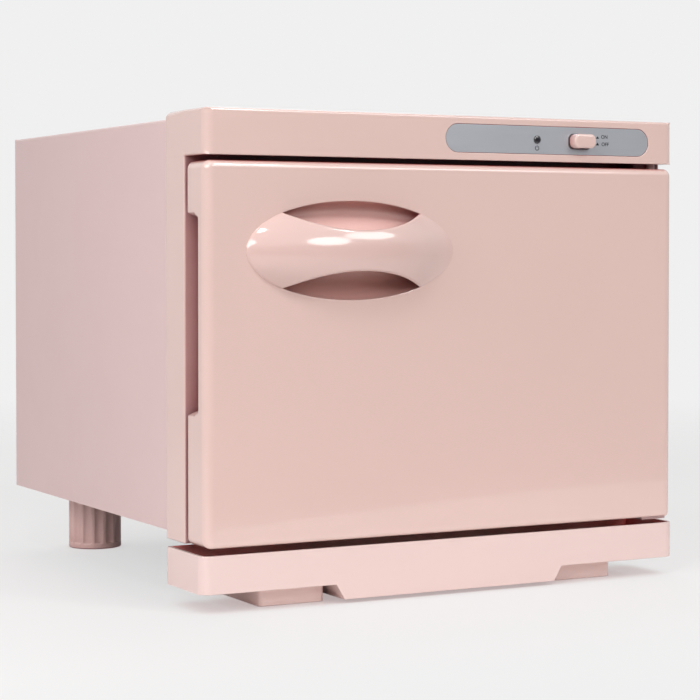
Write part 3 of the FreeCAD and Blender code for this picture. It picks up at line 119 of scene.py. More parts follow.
def quarterEdge(wall, flat, level, radius, into, steps=5):
    # Rounded edge from a side wall to a flat face: plan point flat + (wall - flat) cos t,
    # depth level + into * radius * (1 - sin t), t from 0 on the wall to 90 degrees on the face
    turn = np.linspace(0, np.pi / 2, steps + 1)[:, None]
    plan = flat + (wall - flat) * np.cos(turn)[..., None]
    depth = level + into * np.asarray(radius) * (1 - np.sin(turn))
    return np.concatenate([plan, np.broadcast_to(depth, plan.shape[:2])[..., None]], 2)


def ring(plan, depth):
    # One closed ring at a depth, or at a depth of its own for each point
    return np.concatenate([plan, np.broadcast_to(depth, len(plan))[:, None]], 1)[None]


def turned(rings, axis):
    # (across, up, depth) put along the axis that the depth runs on
    a, b, depth = np.moveaxis(rings, -1, 0)
    return np.stack({"x": (depth, a, b), "y": (a, depth, b), "z": (a, b, depth)}[axis], -1)


def softBlock(axis, span, corners, lowEdge, highEdge, steps=8):
    # Block with rounded corners and edges, as rings from its low face to its high face
    *plan, near, far = span
    wall = insetLoop(plan, corners, steps=steps)
    halves = []
    for edge, level, into in ((lowEdge, near, 1), (highEdge, far, -1)):
        inner = [max(c - edge, hair) for c in corners]
        flat = insetLoop(plan, inner, (edge,) * 4, steps)
        halves.append(quarterEdge(wall, flat, level, edge, into))
    return turned(np.concatenate([halves[0][::-1], halves[1]]), axis)


def smoothStep(values, low, high):
    share = np.clip((values - low) / (high - low), 0, 1)
    return share * share * (3 - 2 * share)


def makePiece(name, body, finish, strips, node=None, fills=None, crease=32):
    # Closed mesh: quads between the rings of each strip, and flat fills between end rings;
    # unless said, a fill closes each end of each strip
    if fills is None:
        fills = [((k, row),) for k in range(len(strips)) for row in (0, -1)]
    counts = [strip.shape[0] * strip.shape[1] for strip in strips]
    starts = np.concatenate([[0], np.cumsum(counts)]).astype(int)
    points = np.concatenate([strip.reshape(-1, 3) for strip in strips])
    faces = []
    for strip, start in zip(strips, starts):
        rows, count = strip.shape[:2]
        here = np.arange(count)
        beside = np.roll(here, -1)
        row = np.arange(rows - 1)[:, None] * count + start
        quads = np.stack([row + here, row + beside, row + count + beside, row + count + here], -1)
        faces += quads.reshape(-1, 4).tolist()
    for loops in fills:
        chosen = []
        for k, row in loops:
            rows, count = strips[k].shape[:2]
            first = starts[k] + (row % rows) * count
            chosen.append(np.arange(first, first + count))
        triangles = tessellate_polygon([points[picked].tolist() for picked in chosen])
        faces += np.concatenate(chosen)[np.array(triangles)].tolist()
    mesh = bpy.data.meshes.new(name)
    mesh.from_pydata(points.tolist(), [], faces)
    return dress(name, mesh, body, finish, node, crease)


def dress(name, mesh, body, finish, node, crease=32):
    # Doubles merged, normals outward, smooth up to the crease angle, riding on its body
    merge = 0.002 * mm
    shape = bmesh.new()
    shape.from_mesh(mesh)
    bmesh.ops.remove_doubles(shape, verts=shape.verts, dist=merge)
    bmesh.ops.dissolve_degenerate(shape, edges=shape.edges, dist=merge)
    bmesh.ops.recalc_face_normals(shape, faces=shape.faces)
    shape.to_mesh(mesh)
    shape.free()
    mesh.polygons.foreach_set("use_smooth", np.ones(len(mesh.polygons), bool))
    mesh.set_sharp_from_angle(angle=math.radians(crease))
    mesh.materials.append(finish)
    piece = bpy.data.objects.new(name, mesh)
    scene.collection.objects.link(piece)
    piece.modifiers.new("faceNormals", "WEIGHTED_NORMAL").keep_sharp = True
    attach(piece, body)
    if node:
        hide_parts(node)
    return piece


# Finishes
def tint(red, green, blue):
    # sRGB levels from 0 to 255 turned into linear light
    level = np.array([red, green, blue]) / 255
    light = np.where(level <= 0.04045, level / 12.92, ((level + 0.055) / 1.055) ** 2.4)
    return (*light.tolist(), 1.0)


def addNode(tree, kind, at, values=None, **settings):
    made = tree.nodes.new("ShaderNode" + kind)
    made.location = at
    for key, value in settings.items():
        setattr(made, key, value)
    for key, value in (values or {}).items():
        made.inputs[key].default_value = value
    return made


def softRange(tree, at, *span):
    # Map Range with eased ends: from low, from high, to low, to high
    values = dict(zip(("From Min", "From Max", "To Min", "To Max"), span))
    return addNode(tree, "MapRange", at, values, interpolation_type="SMOOTHSTEP")


def wire(tree, *joins):
    for source, output, target, entry in joins:
        tree.links.new(source.outputs[output], target.inputs[entry])


def newGroup(name, inputs, outputs):
    # Inputs by label and default, whose length gives the kind of socket
    kinds = {1: "NodeSocketFloat", 3: "NodeSocketVector", 4: "NodeSocketColor"}
    group = bpy.data.node_groups.new(name, "ShaderNodeTree")
    for label, value in inputs.items():
        socket = group.interface.new_socket(label, in_out="INPUT", socket_type=kinds[np.size(value)])
        socket.default_value = value
    for label in outputs:
        kind = kinds[4 if label == "Color" else 1]
        group.interface.new_socket(label, in_out="OUTPUT", socket_type=kind)
    given, out = group.nodes.new("NodeGroupInput"), group.nodes.new("NodeGroupOutput")
    given.location, out.location = (-700, 0), (500, 0)
    return group, given, out


def sendTexture(group, given, out, height, mask, spread):
    # Height as it comes; roughness from Smooth to Rough as the mask rises
    wire(group, (mask, 0, spread, "Value"), (given, "Smooth", spread, "To Min"),
         (given, "Rough", spread, "To Max"), (height, 0, out, "Height"), (spread, 0, out, "Roughness"))
    return group


def makeColourDrift():
    # Colour times 1 + amount * (2 noise - 1): the slow unevenness of a moulding or a coat
    inputs = {"Vector": (0, 0, 0), "Color": (0.8, 0.8, 0.8, 1), "Scale": 12.0, "Amount": 0.02}
    group, given, out = newGroup("colourDrift", inputs, ("Color",))
    noise = addNode(group, "TexNoise", (-450, 0), {"Detail": 3})
    swing = addNode(group, "Math", (-250, 0), {1: 2, 2: -1}, operation="MULTIPLY_ADD")
    level = addNode(group, "Math", (-80, 0), {2: 1}, operation="MULTIPLY_ADD")
    scaled = addNode(group, "VectorMath", (150, 0), operation="SCALE")
    wire(group, (given, "Vector", noise, "Vector"), (given, "Scale", noise, "Scale"),
         (noise, 0, swing, 0), (swing, 0, level, 0), (given, "Amount", level, 1),
         (given, "Color", scaled, 0), (level, 0, scaled, "Scale"), (scaled, 0, out, "Color"))
    return group


def makeSurfaceGrain():
    # Height: fine noise of a moulded or coated skin. Roughness: slow smudges between two levels
    inputs = {"Vector": (0, 0, 0), "Scale": 600.0, "Smudge Scale": 20.0, "Smooth": 0.1, "Rough": 0.2}
    group, given, out = newGroup("surfaceGrain", inputs, ("Height", "Roughness"))
    skin = addNode(group, "TexNoise", (-450, 150), {"Detail": 2})
    smudge = addNode(group, "TexNoise", (-450, -150), {"Detail": 5, "Distortion": 0.6})
    spread = softRange(group, (-200, -150), 0.35, 0.7)
    wire(group, (given, "Vector", skin, "Vector"), (given, "Vector", smudge, "Vector"),
         (given, "Scale", skin, "Scale"), (given, "Smudge Scale", smudge, "Scale"))
    return sendTexture(group, given, out, skin, smudge, spread)


def makeBrushedLines():
    # Noise on coordinates stretched along the brushing: height of the lines and their roughness
    inputs = {"Vector": (0, 0, 0), "Stretch": (1, 1, 1), "Scale": 900.0, "Smooth": 0.2, "Rough": 0.4}
    group, given, out = newGroup("brushedLines", inputs, ("Height", "Roughness"))
    stretched = addNode(group, "VectorMath", (-500, 0), operation="MULTIPLY")
    noise = addNode(group, "TexNoise", (-300, 0), {"Detail": 4, "Roughness": 0.7})
    spread = addNode(group, "MapRange", (-50, -150), {"From Min": 0.3, "From Max": 0.7})
    wire(group, (given, "Vector", stretched, 0), (given, "Stretch", stretched, 1),
         (stretched, 0, noise, "Vector"), (given, "Scale", noise, "Scale"))
    return sendTexture(group, given, out, noise, noise, spread)


def makeFibreMat():
    # Crossed strands: a distorted noise stretched one way plus one stretched the other way
    inputs = {"Vector": (0, 0, 0), "Scale": 300.0, "Smooth": 0.85, "Rough": 1.0}
    group, given, out = newGroup("fibreMat", inputs, ("Height", "Roughness"))
    total = addNode(group, "Math", (-50, 0), operation="MAXIMUM")
    for k, stretch in enumerate(((1, 0.15, 0.3), (0.2, 1, 0.9))):
        stretched = addNode(group, "VectorMath", (-500, -250 * k), {1: stretch}, operation="MULTIPLY")
        noise = addNode(group, "TexNoise", (-300, -250 * k), {"Distortion": 1.5, "Detail": 4})
        wire(group, (given, "Vector", stretched, 0), (stretched, 0, noise, "Vector"),
             (given, "Scale", noise, "Scale"), (noise, 0, total, k))
    return sendTexture(group, given, out, total, total, addNode(group, "MapRange", (150, -150)))


def makeCreviceTint():
    # Painted shade: colour multiplied towards a deeper tint where the surroundings close in within a reach,
    # standing in for light that bounces several times between coloured walls and takes on more of their
    # colour
    inputs = {"Color": (0.8, 0.8, 0.8, 1), "Tint": (0.8, 0.3, 0.3, 1), "Reach": 0.01}
    group, given, out = newGroup("creviceTint", inputs, ("Color",))
    openness = addNode(group, "AmbientOcclusion", (-450, -100), samples=6)
    spread = softRange(group, (-200, -100), 0.1, 0.75, 1.0, 0.0)
    mixed = addNode(group, "Mix", (100, 0), data_type="RGBA", blend_type="MULTIPLY")
    wire(group, (given, "Reach", openness, "Distance"), (openness, "AO", spread, "Value"),
         (spread, 0, mixed, 0), (given, "Color", mixed, 6), (given, "Tint", mixed, 7),
         (mixed, 2, out, "Color"))
    return group


colourDrift = makeColourDrift()
creviceTint = makeCreviceTint()
textures = {"grain": makeSurfaceGrain(), "brushed": makeBrushedLines(), "fibre": makeFibreMat()}


def makeFinish(name, colour, texture="grain", scale=600, depth=0.004, rough=(0.1, 0.16), drift=0.012,
               driftScale=12, stretch=None, metallic=0.0, coat=0.0, coatRough=0.03, sheen=0.0,
               crevice=None):
    # Principled surface: drifting colour, textured roughness and a bump of depth in millimetres;
    # crevice is the deeper tint of painted shade in crevices and its reach in millimetres
    finish = bpy.data.materials.new(name)
    finish.use_nodes = True
    tree = finish.node_tree
    surface = tree.nodes["Principled BSDF"]
    plain = {"Metallic": metallic, "Coat Weight": coat, "Coat Roughness": coatRough, "Sheen Weight": sheen}
    for key, value in plain.items():
        surface.inputs[key].default_value = value
    place = addNode(tree, "TexCoord", (-900, 0))
    values = {"Color": tint(*colour), "Scale": driftScale, "Amount": drift}
    tone = addNode(tree, "Group", (-500, 200), values, node_tree=colourDrift)
    values = {"Scale": scale, "Smooth": rough[0], "Rough": rough[1]}
    if stretch:
        values["Stretch"] = stretch
    skin = addNode(tree, "Group", (-500, -100), values, node_tree=textures[texture])
    bump = addNode(tree, "Bump", (-200, -250), {"Strength": 1, "Distance": depth * mm})
    wire(tree, (place, "Object", tone, "Vector"), (place, "Object", skin, "Vector"))
    # Painted shade: the colour darkens towards the tint where the surroundings close in
    if crevice:
        values = {"Tint": tint(*crevice[:3]), "Reach": crevice[3] * mm}
        deep = addNode(tree, "Group", (-250, 200), values, node_tree=creviceTint)
        wire(tree, (tone, "Color", deep, "Color"))
        tone = deep
    wire(tree, (tone, "Color", surface, "Base Color"), (skin, "Roughness", surface, "Roughness"),
         (skin, "Height", bump, "Height"), (bump, "Normal", surface, "Normal"))
    return finish


gloss = {"scale": 260, "depth": 0.0016, "rough": (0.11, 0.16), "coat": 0.85, "coatRough": 0.02}
satin = {"scale": 320, "depth": 0.002, "rough": (0.22, 0.25), "coat": 0.35}
matt = {"scale": 900, "depth": 0.012, "rough": (0.35, 0.5)}
ink = {"scale": 2000, "depth": 0.002, "rough": (0.5, 0.6)}
# Painted shade: the main pink darkens towards wine red in gaps and crevices
glossPink = makeFinish("glossPink", (226, 195, 187), **gloss, crevice=(215, 48, 58, 14))
# Painted shade: a darker, redder copy of glossPink for the handle bar
barPink = makeFinish("barPink", (223, 190, 183), **gloss)
trayPink = makeFinish("trayPink", (233, 206, 201), **satin)
# Painted shade: trayPink darkened towards red in the tray's well
wellPink = makeFinish("wellPink", (233, 206, 201), **satin, crevice=(250, 104, 108, 27))
# Painted light and shade: the bowl's pink is set redder and a little brighter than glossPink so its lit
# floor shows brighter, and darkens in its hollows
bowlPink = makeFinish("bowlPink", (236, 194, 186), scale=260, depth=0.002, rough=(0.35, 0.45),
                      crevice=(140, 66, 70, 22))
# Painted shade: a darker rose copy of the pink for the frame's face behind the door and the hinge pad, which
# lie in shade in the gaps, with more painted shade in its hollows
frameRose = makeFinish("frameRose", (216, 176, 174), scale=260, depth=0.0016, rough=(0.28, 0.32),
                       crevice=(150, 84, 92, 30))
# Painted light: a near-white copy of the pink so that the toes under the tray's shadow show brighter
toePink = makeFinish("toePink", (255, 230, 224), **matt)
# Painted light and shade: a pale copy of the pink, darkened towards red where the case closes in over the
# feet
footPink = makeFinish("footPink", (254, 216, 210), **matt, crevice=(130, 56, 60, 46))
casePink = makeFinish("casePink", (221, 192, 190), scale=1500, depth=0.007, rough=(0.3, 0.4), drift=0.018,
                      driftScale=7, coat=0.25, coatRough=0.2)
plateSilver = makeFinish("plateSilver", (178, 180, 186), texture="brushed", scale=900, depth=0.0012,
                         stretch=(0.05, 1, 1), rough=(0.32, 0.42), metallic=0.5, drift=0.06, driftScale=9)
# Painted shadow: dark grey of the slot round the knob, drawn wider to the left and below as the knob's
# shadow
slotShade = makeFinish("slotShade", (74, 64, 68), **ink)
printInk = makeFinish("printInk", (18, 17, 20), **ink)
lampGlass = makeFinish("lampGlass", (40, 36, 42), scale=500, depth=0.001, rough=(0.08, 0.12), coat=0.8)
sealRubber = makeFinish("sealRubber", (212, 203, 198), scale=1200, depth=0.01, rough=(0.5, 0.65), sheen=0.1)


def carry(finish, names):
    # Finish of the solids that show as they are
    for name in names.split():
        for held in nodes[name].material_slots:
            held.material = finish


carry(casePink, "rear_panel hinge_bracket_lower hinge_bracket_upper")
carry(makeFinish("lampHousing", (38, 38, 40), scale=900, depth=0.006, rough=(0.35, 0.5)), "lamp_holder")
carry(makeFinish("linerWhite", (236, 228, 222), scale=420, depth=0.006, rough=(0.28, 0.38), coat=0.15),
      "door_liner")
carry(makeFinish("foamWhite", (238, 236, 230), texture="fibre", scale=700, depth=0.12), "door_insulation")
carry(makeFinish("laggingWool", (206, 198, 170), texture="fibre", scale=260, depth=0.4, drift=0.06),
      "chamber_insulation")
carry(makeFinish("chamberMetal", (196, 198, 200), texture="brushed", scale=2400, depth=0.0006,
                 stretch=(1, 0.03, 1), rough=(0.3, 0.37), metallic=1.0), "inner_chamber rack_ledges")
carry(makeFinish("shieldMetal", (188, 190, 192), texture="brushed", scale=600, depth=0.003,
                 stretch=(0.04, 1, 1), rough=(0.3, 0.45), metallic=1.0), "heat_shield")
carry(makeFinish("zincSteel", (178, 180, 178), scale=1400, depth=0.004, rough=(0.28, 0.42), metallic=1.0,
                 drift=0.05, driftScale=60),
      "panel_screws foot_screws hinge_screws liner_screws strike_plate thermal_fuse")
carry(makeFinish("baseSteel", (170, 172, 172), scale=1600, depth=0.006, rough=(0.34, 0.48), metallic=1.0,
                 drift=0.06, driftScale=30), "base_plate")
carry(makeFinish("rackChrome", (214, 215, 218), scale=1200, depth=0.001, rough=(0.06, 0.14), metallic=1.0),
      "wire_rack")
carry(makeFinish("heaterRubber", (170, 62, 40), scale=1400, depth=0.03, rough=(0.5, 0.65)), "heater_mat")
carry(makeFinish("blackPlastic", (30, 30, 32), scale=1300, depth=0.012, rough=(0.35, 0.5)),
      "thermostat cord_gland switch_body")
carry(makeFinish("magnetFerrite", (58, 55, 54), scale=1800, depth=0.015, rough=(0.45, 0.6)), "catch_magnet")
carry(makeFinish("terminalCream", (226, 220, 200), scale=900, depth=0.008, rough=(0.35, 0.45)),
      "terminal_block")
carry(makeFinish("leadSheath", (120, 60, 44), scale=1500, depth=0.01, rough=(0.42, 0.55), drift=0.05),
      "wiring_leads")
carry(makeFinish("bushNylon", (232, 230, 222), scale=900, depth=0.008, rough=(0.35, 0.48)),
      "hinge_bush_lower hinge_bush_upper")
print("finishes made:", len(bpy.data.materials))

# Sheet-metal case
caseShape = sized(bend=1.6, sheet=1.2, hem=0.25)


def makeCase():
    # Sheet section (an upturned U with bent shoulders) carried from the bezel to the rear panel
    bend, sheet, hem = caseShape["bend"], caseShape["sheet"], caseShape["hem"]
    turn = np.linspace(0, np.pi / 2, 9)

    def section(inset, radius):
        right, top = caseHigh.x - inset, caseHigh.z - inset
        arc = np.stack([right - radius + radius * np.cos(turn), top - radius + radius * np.sin(turn)], 1)
        half = np.concatenate([[[right, caseLow.z]], arc])
        return np.concatenate([half, half[::-1] * (-1, 1)])

    loop = np.concatenate([section(0, bend), section(sheet, bend - sheet)[::-1]])
    stops = (caseLow.y, (caseLow.y + caseHigh.y) / 2, caseHigh.y - hem, caseHigh.y)
    strip = turned(np.concatenate([ring(loop, y) for y in stops]), "y")
    makePiece("case_wrapper", "cabinet", casePink, [strip], "outer_case")


makeCase()
print("case made")

# Bezel: header over a set-back frame
bezelShape = sized(
    upright=5.5, topFront=1.5, topRear=3.5, lowFront=0.7, backEdge=1.1, wall=2.5, mouthHalf=130, mouthLow=62,
    mouthHigh=238, mouthCorner=5, mouthRim=1.0, faceEdge=1.2, headerCorner=1.5, headerLowCorner=2.2,
    headerRearCorner=3.4, overhangEnd=0.6, stemStart=0.2, footCorner=1, footEdge=0.4, facing=0.3,
)
hingePadShape = sized(left=139, right=158.5, setback=11.5, clear=0.3, corner=3, rearCorner=0.1, edge=0.2,
                      intoFrame=0.2, intoHeader=0.05)
plateShape = sized(sunk=0.3, thick=0.8, gap=0.25, lip=0.35, edge=0.12)
plateFace = frontY + plateShape["sunk"]


def makeHeader():
    # Block lofted front to back round its outline, with the shallow seat of the control plate let in
    b, p = bezelShape, plateShape
    top, low, rearTop = b["headerCorner"], b["headerLowCorner"], b["headerRearCorner"]
    span = (-side, side, headerLow, bezelHigh.z)
    overhang = insetLoop(span, (top, top, low, low))
    edges = (b["topFront"], b["upright"], b["lowFront"], b["upright"])
    front = quarterEdge(overhang, insetLoop(span, (fine,) * 4, edges), frontY, alongSides(edges), 1, 8)[::-1]
    stem = [ring(overhang, faceY - b["overhangEnd"]),
            ring(insetLoop(span, (top, top, fine, fine)), faceY - b["stemStart"])]
    wall = insetLoop(span, (rearTop, rearTop, fine, fine))
    edges = (b["topRear"], b["backEdge"], fine, b["backEdge"])
    rear = quarterEdge(wall, insetLoop(span, (fine,) * 4, edges), bezelHigh.y, alongSides(edges), -1, 7)
    low, high = plateLow.z - p["gap"], plateHigh.z + p["gap"]
    half = (high - low) / 2 - fine
    seat, outward = roundLoop(plateLow.x - p["gap"], plateHigh.x + p["gap"], low, high, (half,) * 4, 16)
    lip = quarterEdge(seat, seat + outward * p["lip"], frontY, p["lip"], 1)[::-1]
    block = np.concatenate([front] + stem + [rear])
    return [turned(block, "y"), turned(np.concatenate([lip, ring(seat, plateFace + p["thick"])]), "y")]


def makeMouthFrame():
    # Pan with a window: face, side walls back to the case, and the chamber mouth with a rounded rim
    b = bezelShape
    thick = b["wall"]
    span = (-side, side, bezelLow.z, headerLow)
    wall = insetLoop(span, (fine, fine, b["footCorner"], b["footCorner"]))
    edges = (fine, b["faceEdge"], b["faceEdge"], b["faceEdge"])
    face = quarterEdge(wall, insetLoop(span, (fine,) * 4, edges), faceY, alongSides(edges), 1)[::-1]
    edges = (fine, b["backEdge"], b["footEdge"], b["backEdge"])
    back = quarterEdge(wall, insetLoop(span, (fine,) * 4, edges), bezelHigh.y, alongSides(edges), -1)
    inner = insetLoop(span, (fine,) * 4, (thick,) * 4)
    outer = np.concatenate([face, back, ring(inner, bezelHigh.y), ring(inner, faceY + thick)])
    span = (-b["mouthHalf"], b["mouthHalf"], b["mouthLow"], b["mouthHigh"])
    mouth, away = roundLoop(*span, (b["mouthCorner"],) * 4)
    rim = quarterEdge(mouth, mouth + away * b["mouthRim"], faceY, b["mouthRim"], 1)[::-1]
    window = np.concatenate([rim, ring(mouth, faceY + thick)])
    return [turned(outer, "y"), turned(window, "y")]


def makeBezel():
    # Fills: header front round the plate's seat, header back, seat floor, frame face, frame back
    fills = [((0, 0), (1, 0)), ((0, -1),), ((1, -1),), ((2, 0), (3, 0)), ((2, -1), (3, -1))]
    bezel = makePiece("bezel", "cabinet", glossPink, makeHeader() + makeMouthFrame(), "front_bezel",
                      fills)
    # The frame's face behind the door takes the painted shade rose
    bezel.data.materials.append(frameRose)
    for face in bezel.data.polygons:
        if face.normal.y < -0.5 and abs(face.center.y - faceY) < bezelShape["facing"]:
            face.material_index = 1


def makeHingePad():
    # Pad under the header round the upper hinge pin, on which the pin's bracket is screwed
    h = hingePadShape
    span = (h["left"], h["right"], frontY + h["setback"], faceY + h["intoFrame"], doorHigh.z + h["clear"],
            headerLow + h["intoHeader"])
    corners = (h["rearCorner"], h["rearCorner"], h["corner"], h["corner"])
    pad = softBlock("z", span, corners, h["edge"], hair)
    # The pad sits in the shade of the gap and takes the painted shade rose
    makePiece("hinge_pad", "cabinet", frameRose, [pad])


makeBezel()
makeHingePad()
print("bezel made")

# Control plate, lamp, slide knob and their marks, whose places are (x, z)
knobShape = sized(corner=3.4, edge=1.5, root=1, slotLeft=1.3, slotRight=0.3, slotLow=0.7, slotHigh=0.3)
lampShape = sized(radius=2.5, proud=0.3, dome=0.6, collar=0.5)
markShape = sized(thick=0.03, lift=0.02, weight=0.05, text=3.1, ringOuter=1.5, ringInner=1.05,
                  signHeight=264.9)
markPlaces = sized(arrowOn=np.array([103.1, 272.3]), arrowOff=np.array([103.1, 268.3]),
                   labelOn=np.array([108.2, 272.6]), labelOff=np.array([108.8, 268.1]))


def makeControlPlate():
    span = (plateLow.x, plateHigh.x, plateLow.z, plateHigh.z, plateFace, plateFace + plateShape["thick"])
    half = (plateHigh.z - plateLow.z) / 2 - fine
    strip = softBlock("y", span, (half,) * 4, plateShape["edge"], hair, 16)
    makePiece("control_fascia", "cabinet", plateSilver, [strip], "control_plate")


def makeKnob():
    k = knobShape
    span = (knobLow.x, knobHigh.x, knobLow.z, knobHigh.z, knobLow.y, frontY + k["root"])
    strip = softBlock("y", span, (k["corner"],) * 4, k["edge"], hair, 10)
    makePiece("slide_knob", "switch", glossPink, [strip], "switch_knob")


def makeLamp():
    # Domed lens turned about an axis along y: radius sin t, height cos t, on a short collar
    s = lampShape
    turn = np.linspace(0.03, np.pi / 2, 9)
    angle = np.linspace(0, 2 * np.pi, 48, endpoint=False)
    radii = s["radius"] * np.append(np.sin(turn), 1)[:, None]
    depths = np.append(plateFace - s["proud"] - s["dome"] * np.cos(turn), plateFace + s["collar"])
    x, z = lampX + radii * np.cos(angle), lampZ + radii * np.sin(angle)
    strip = np.stack([x, np.broadcast_to(depths[:, None], x.shape), z], -1)
    makePiece("pilot_lens", "cabinet", lampGlass, [strip], "lamp_lens")


def flatMark(name, outline, finish=printInk):
    # Thin mark: an outline in x and z lifted a hair off the plate
    face = plateFace - markShape["lift"]
    strip = turned(np.concatenate([ring(outline, face), ring(outline, face + markShape["thick"])]), "y")
    makePiece(name, "cabinet", finish, [strip])


def wordMark(name, word, place):
    # Word as a thin solid, centred on its place
    letters = bpy.data.curves.new(name, "FONT")
    letters.body = word
    letters.size = markShape["text"]
    letters.extrude = markShape["thick"] / 2
    letters.offset = markShape["weight"]
    letters.align_x = letters.align_y = "CENTER"
    holder = bpy.data.objects.new(name + "Curve", letters)
    scene.collection.objects.link(holder)
    bpy.context.view_layer.update()
    mesh = bpy.data.meshes.new_from_object(holder.evaluated_get(bpy.context.evaluated_depsgraph_get()))
    bpy.data.objects.remove(holder)
    middle = (place[0], plateFace - markShape["lift"] + markShape["thick"] / 2, place[1])
    mesh.transform(Matrix.Translation(middle) @ Matrix.Rotation(math.pi / 2, 4, "X"))
    mesh.materials.clear()
    mesh.name = name
    dress(name, mesh, "cabinet", printInk, None)


def makeMarks():
    k, m = knobShape, markShape
    arrow = np.array([(-1.25, -0.85), (1.25, -0.85), (0, 1.0)]) * mm
    flatMark("arrow_on", arrow * (1, 0.85) + markPlaces["arrowOn"])
    flatMark("arrow_off", arrow + markPlaces["arrowOff"])
    wordMark("label_on", "ON", markPlaces["labelOn"])
    wordMark("label_off", "OFF", markPlaces["labelOff"])
    # Dark mark round the knob: the slot's opening plus a painted shadow of the knob, wider to the left and
    # below
    slot = roundLoop(knobLow.x - k["slotLeft"], knobHigh.x + k["slotRight"], knobLow.z - k["slotLow"],
                     knobHigh.z + k["slotHigh"], (k["corner"],) * 4)[0]
    flatMark("knob_slot", slot, slotShade)
    # Plain power sign under the lamp: an open ring and a short bar
    centre = (lampX, m["signHeight"])
    angle = np.radians(np.linspace(125, 415, 40))
    arc = ellipse(angle)
    flatMark("power_ring", np.concatenate([arc * m["ringOuter"], arc[::-1] * m["ringInner"]]) + centre)
    bar = np.array([(-0.22, 0.15), (0.22, 0.15), (0.22, 1.75), (-0.22, 1.75)]) * mm
    flatMark("power_bar", bar + centre)


makeControlPlate()
makeKnob()
makeLamp()
makeMarks()
print("controls made")

# Door: front moulding, handle bar and bowl
doorShape = sized(
    upright=5.5, topEdge=4, lowEdge=1.6, topCorner=5, lowCorner=4.2, faceCorner=0.6, wall=2.4, rim=0.5,
    notchLow=111.9, notchHigh=222.8, notchReach=9, notchDepth=13.8, notchBlend=4.6, notchEdge=1.0,
    innerStep=0.1,
)
gripShape = sized(
    halfLength=68, halfHeight=29, sink=17.5, rise=17.5, waist=11.6, arcRadius=107.8, edge=1.25, lip=0.5,
    openMargin=-0.6, hiddenMargin=-2, rim=0.6, hiddenRim=0.05, mergeSink=0.06, seat=2.5, bowlDepth=13,
    bowlWall=2, flange=6, slopeHeight=9, slopeWidth=13, web=16.5, webHeight=2.5, webWidth=5,
)
gripShape.update(hiddenSpan=(0.675, 0.72), mergeSpan=(0.3, 0.92), mergePower=1.45, slope=0.95)
gasketShape = sized(width=6, corner=9)


def makeDoorFront():
    # Rings carried round the outline: front edge, side wall, back rim and inner wall. On the hinge-free
    # side each ring bends inward over the finger notch, by notchReach times a smooth step in z
    d, g = doorShape, gripShape
    span, steps, between = (-side, side, doorLow.z, doorHigh.z), 10, (12, 360, 12, 12)
    corners = (d["topCorner"], d["topCorner"], d["lowCorner"], d["lowCorner"])
    wall, outward = roundLoop(*span, corners, steps, between)
    edges = (d["topEdge"], d["upright"], d["lowEdge"], d["upright"])
    flat = insetLoop(span, (d["faceCorner"],) * 4, edges, steps, between)
    front = quarterEdge(wall, flat, frontY, alongSides(edges, steps, between), 1, 9)[::-1]

    height, half = wall[:, 1], d["notchBlend"] / 2
    pull = smoothStep(height, d["notchLow"] - half, d["notchLow"] + half)
    pull = pull * (1 - smoothStep(height, d["notchHigh"] - half, d["notchHigh"] + half))
    pull = np.where(wall[:, 0] < hair - side, pull, 0)
    backY, thick, rim = doorHigh.y, d["wall"], d["rim"]
    shelf, edge, reach = backY - d["notchDepth"], d["notchEdge"], d["notchReach"]
    bend = np.linspace(0, np.pi / 2, 5)
    rise, drop = edge * np.sin(bend), edge * (1 - np.cos(bend))
    notchIn = np.concatenate([drop, reach - edge + rise, [reach]])
    notchY = np.concatenate([shelf - edge + rise, shelf + drop, [backY - rim]])
    plainY = np.linspace(shelf - edge, backY - rim, len(notchY))
    inset = pull * notchIn[:, None]
    depth = plainY[:, None] * (1 - pull) + notchY[:, None] * pull
    sides = np.concatenate([wall - outward * inset[..., None], depth[..., None]], 2)

    around = [(rim * (1 - np.cos(t)), backY - rim * (1 - np.sin(t))) for t in bend[1:]]
    around += [(thick - rim * np.sin(t), backY - rim * (1 - np.cos(t))) for t in bend[::-1]]
    around += [(thick, shelf - thick)]
    backRings = [ring(wall - outward * (pull * reach + into)[:, None], y) for into, y in around]
    inner = wall - outward * thick
    backRings += [ring(inner, shelf - thick - d["innerStep"]), ring(inner, frontY + thick)]
    outer = np.concatenate([front, sides] + backRings)

    # Opening behind the bar: an ellipse, smaller where the ends of the bar hide its rim
    angle = np.linspace(0, 2 * np.pi, 288, endpoint=False)
    hidden = smoothStep(np.abs(np.cos(angle)), *g["hiddenSpan"])
    margin = g["openMargin"] * (1 - hidden) + g["hiddenMargin"] * hidden
    rimSize = g["rim"] * (1 - hidden) + g["hiddenRim"] * hidden
    hole = (gripX, gripZ) + ellipse(angle, g["halfLength"] + margin, g["halfHeight"] + margin)
    away = np.stack([np.cos(angle) / g["halfLength"], np.sin(angle) / g["halfHeight"]], 1)
    away = away / np.linalg.norm(away, axis=1)[:, None]
    lip = quarterEdge(hole, hole + away * rimSize[:, None], frontY, rimSize, 1, 7)[::-1]
    window = np.concatenate([lip, ring(hole, frontY + thick)])
    makePiece("door_front", "door", glossPink, [turned(outer, "y"), turned(window, "y")], "door_shell",
              [((0, 0), (1, 0)), ((0, -1), (1, -1))])


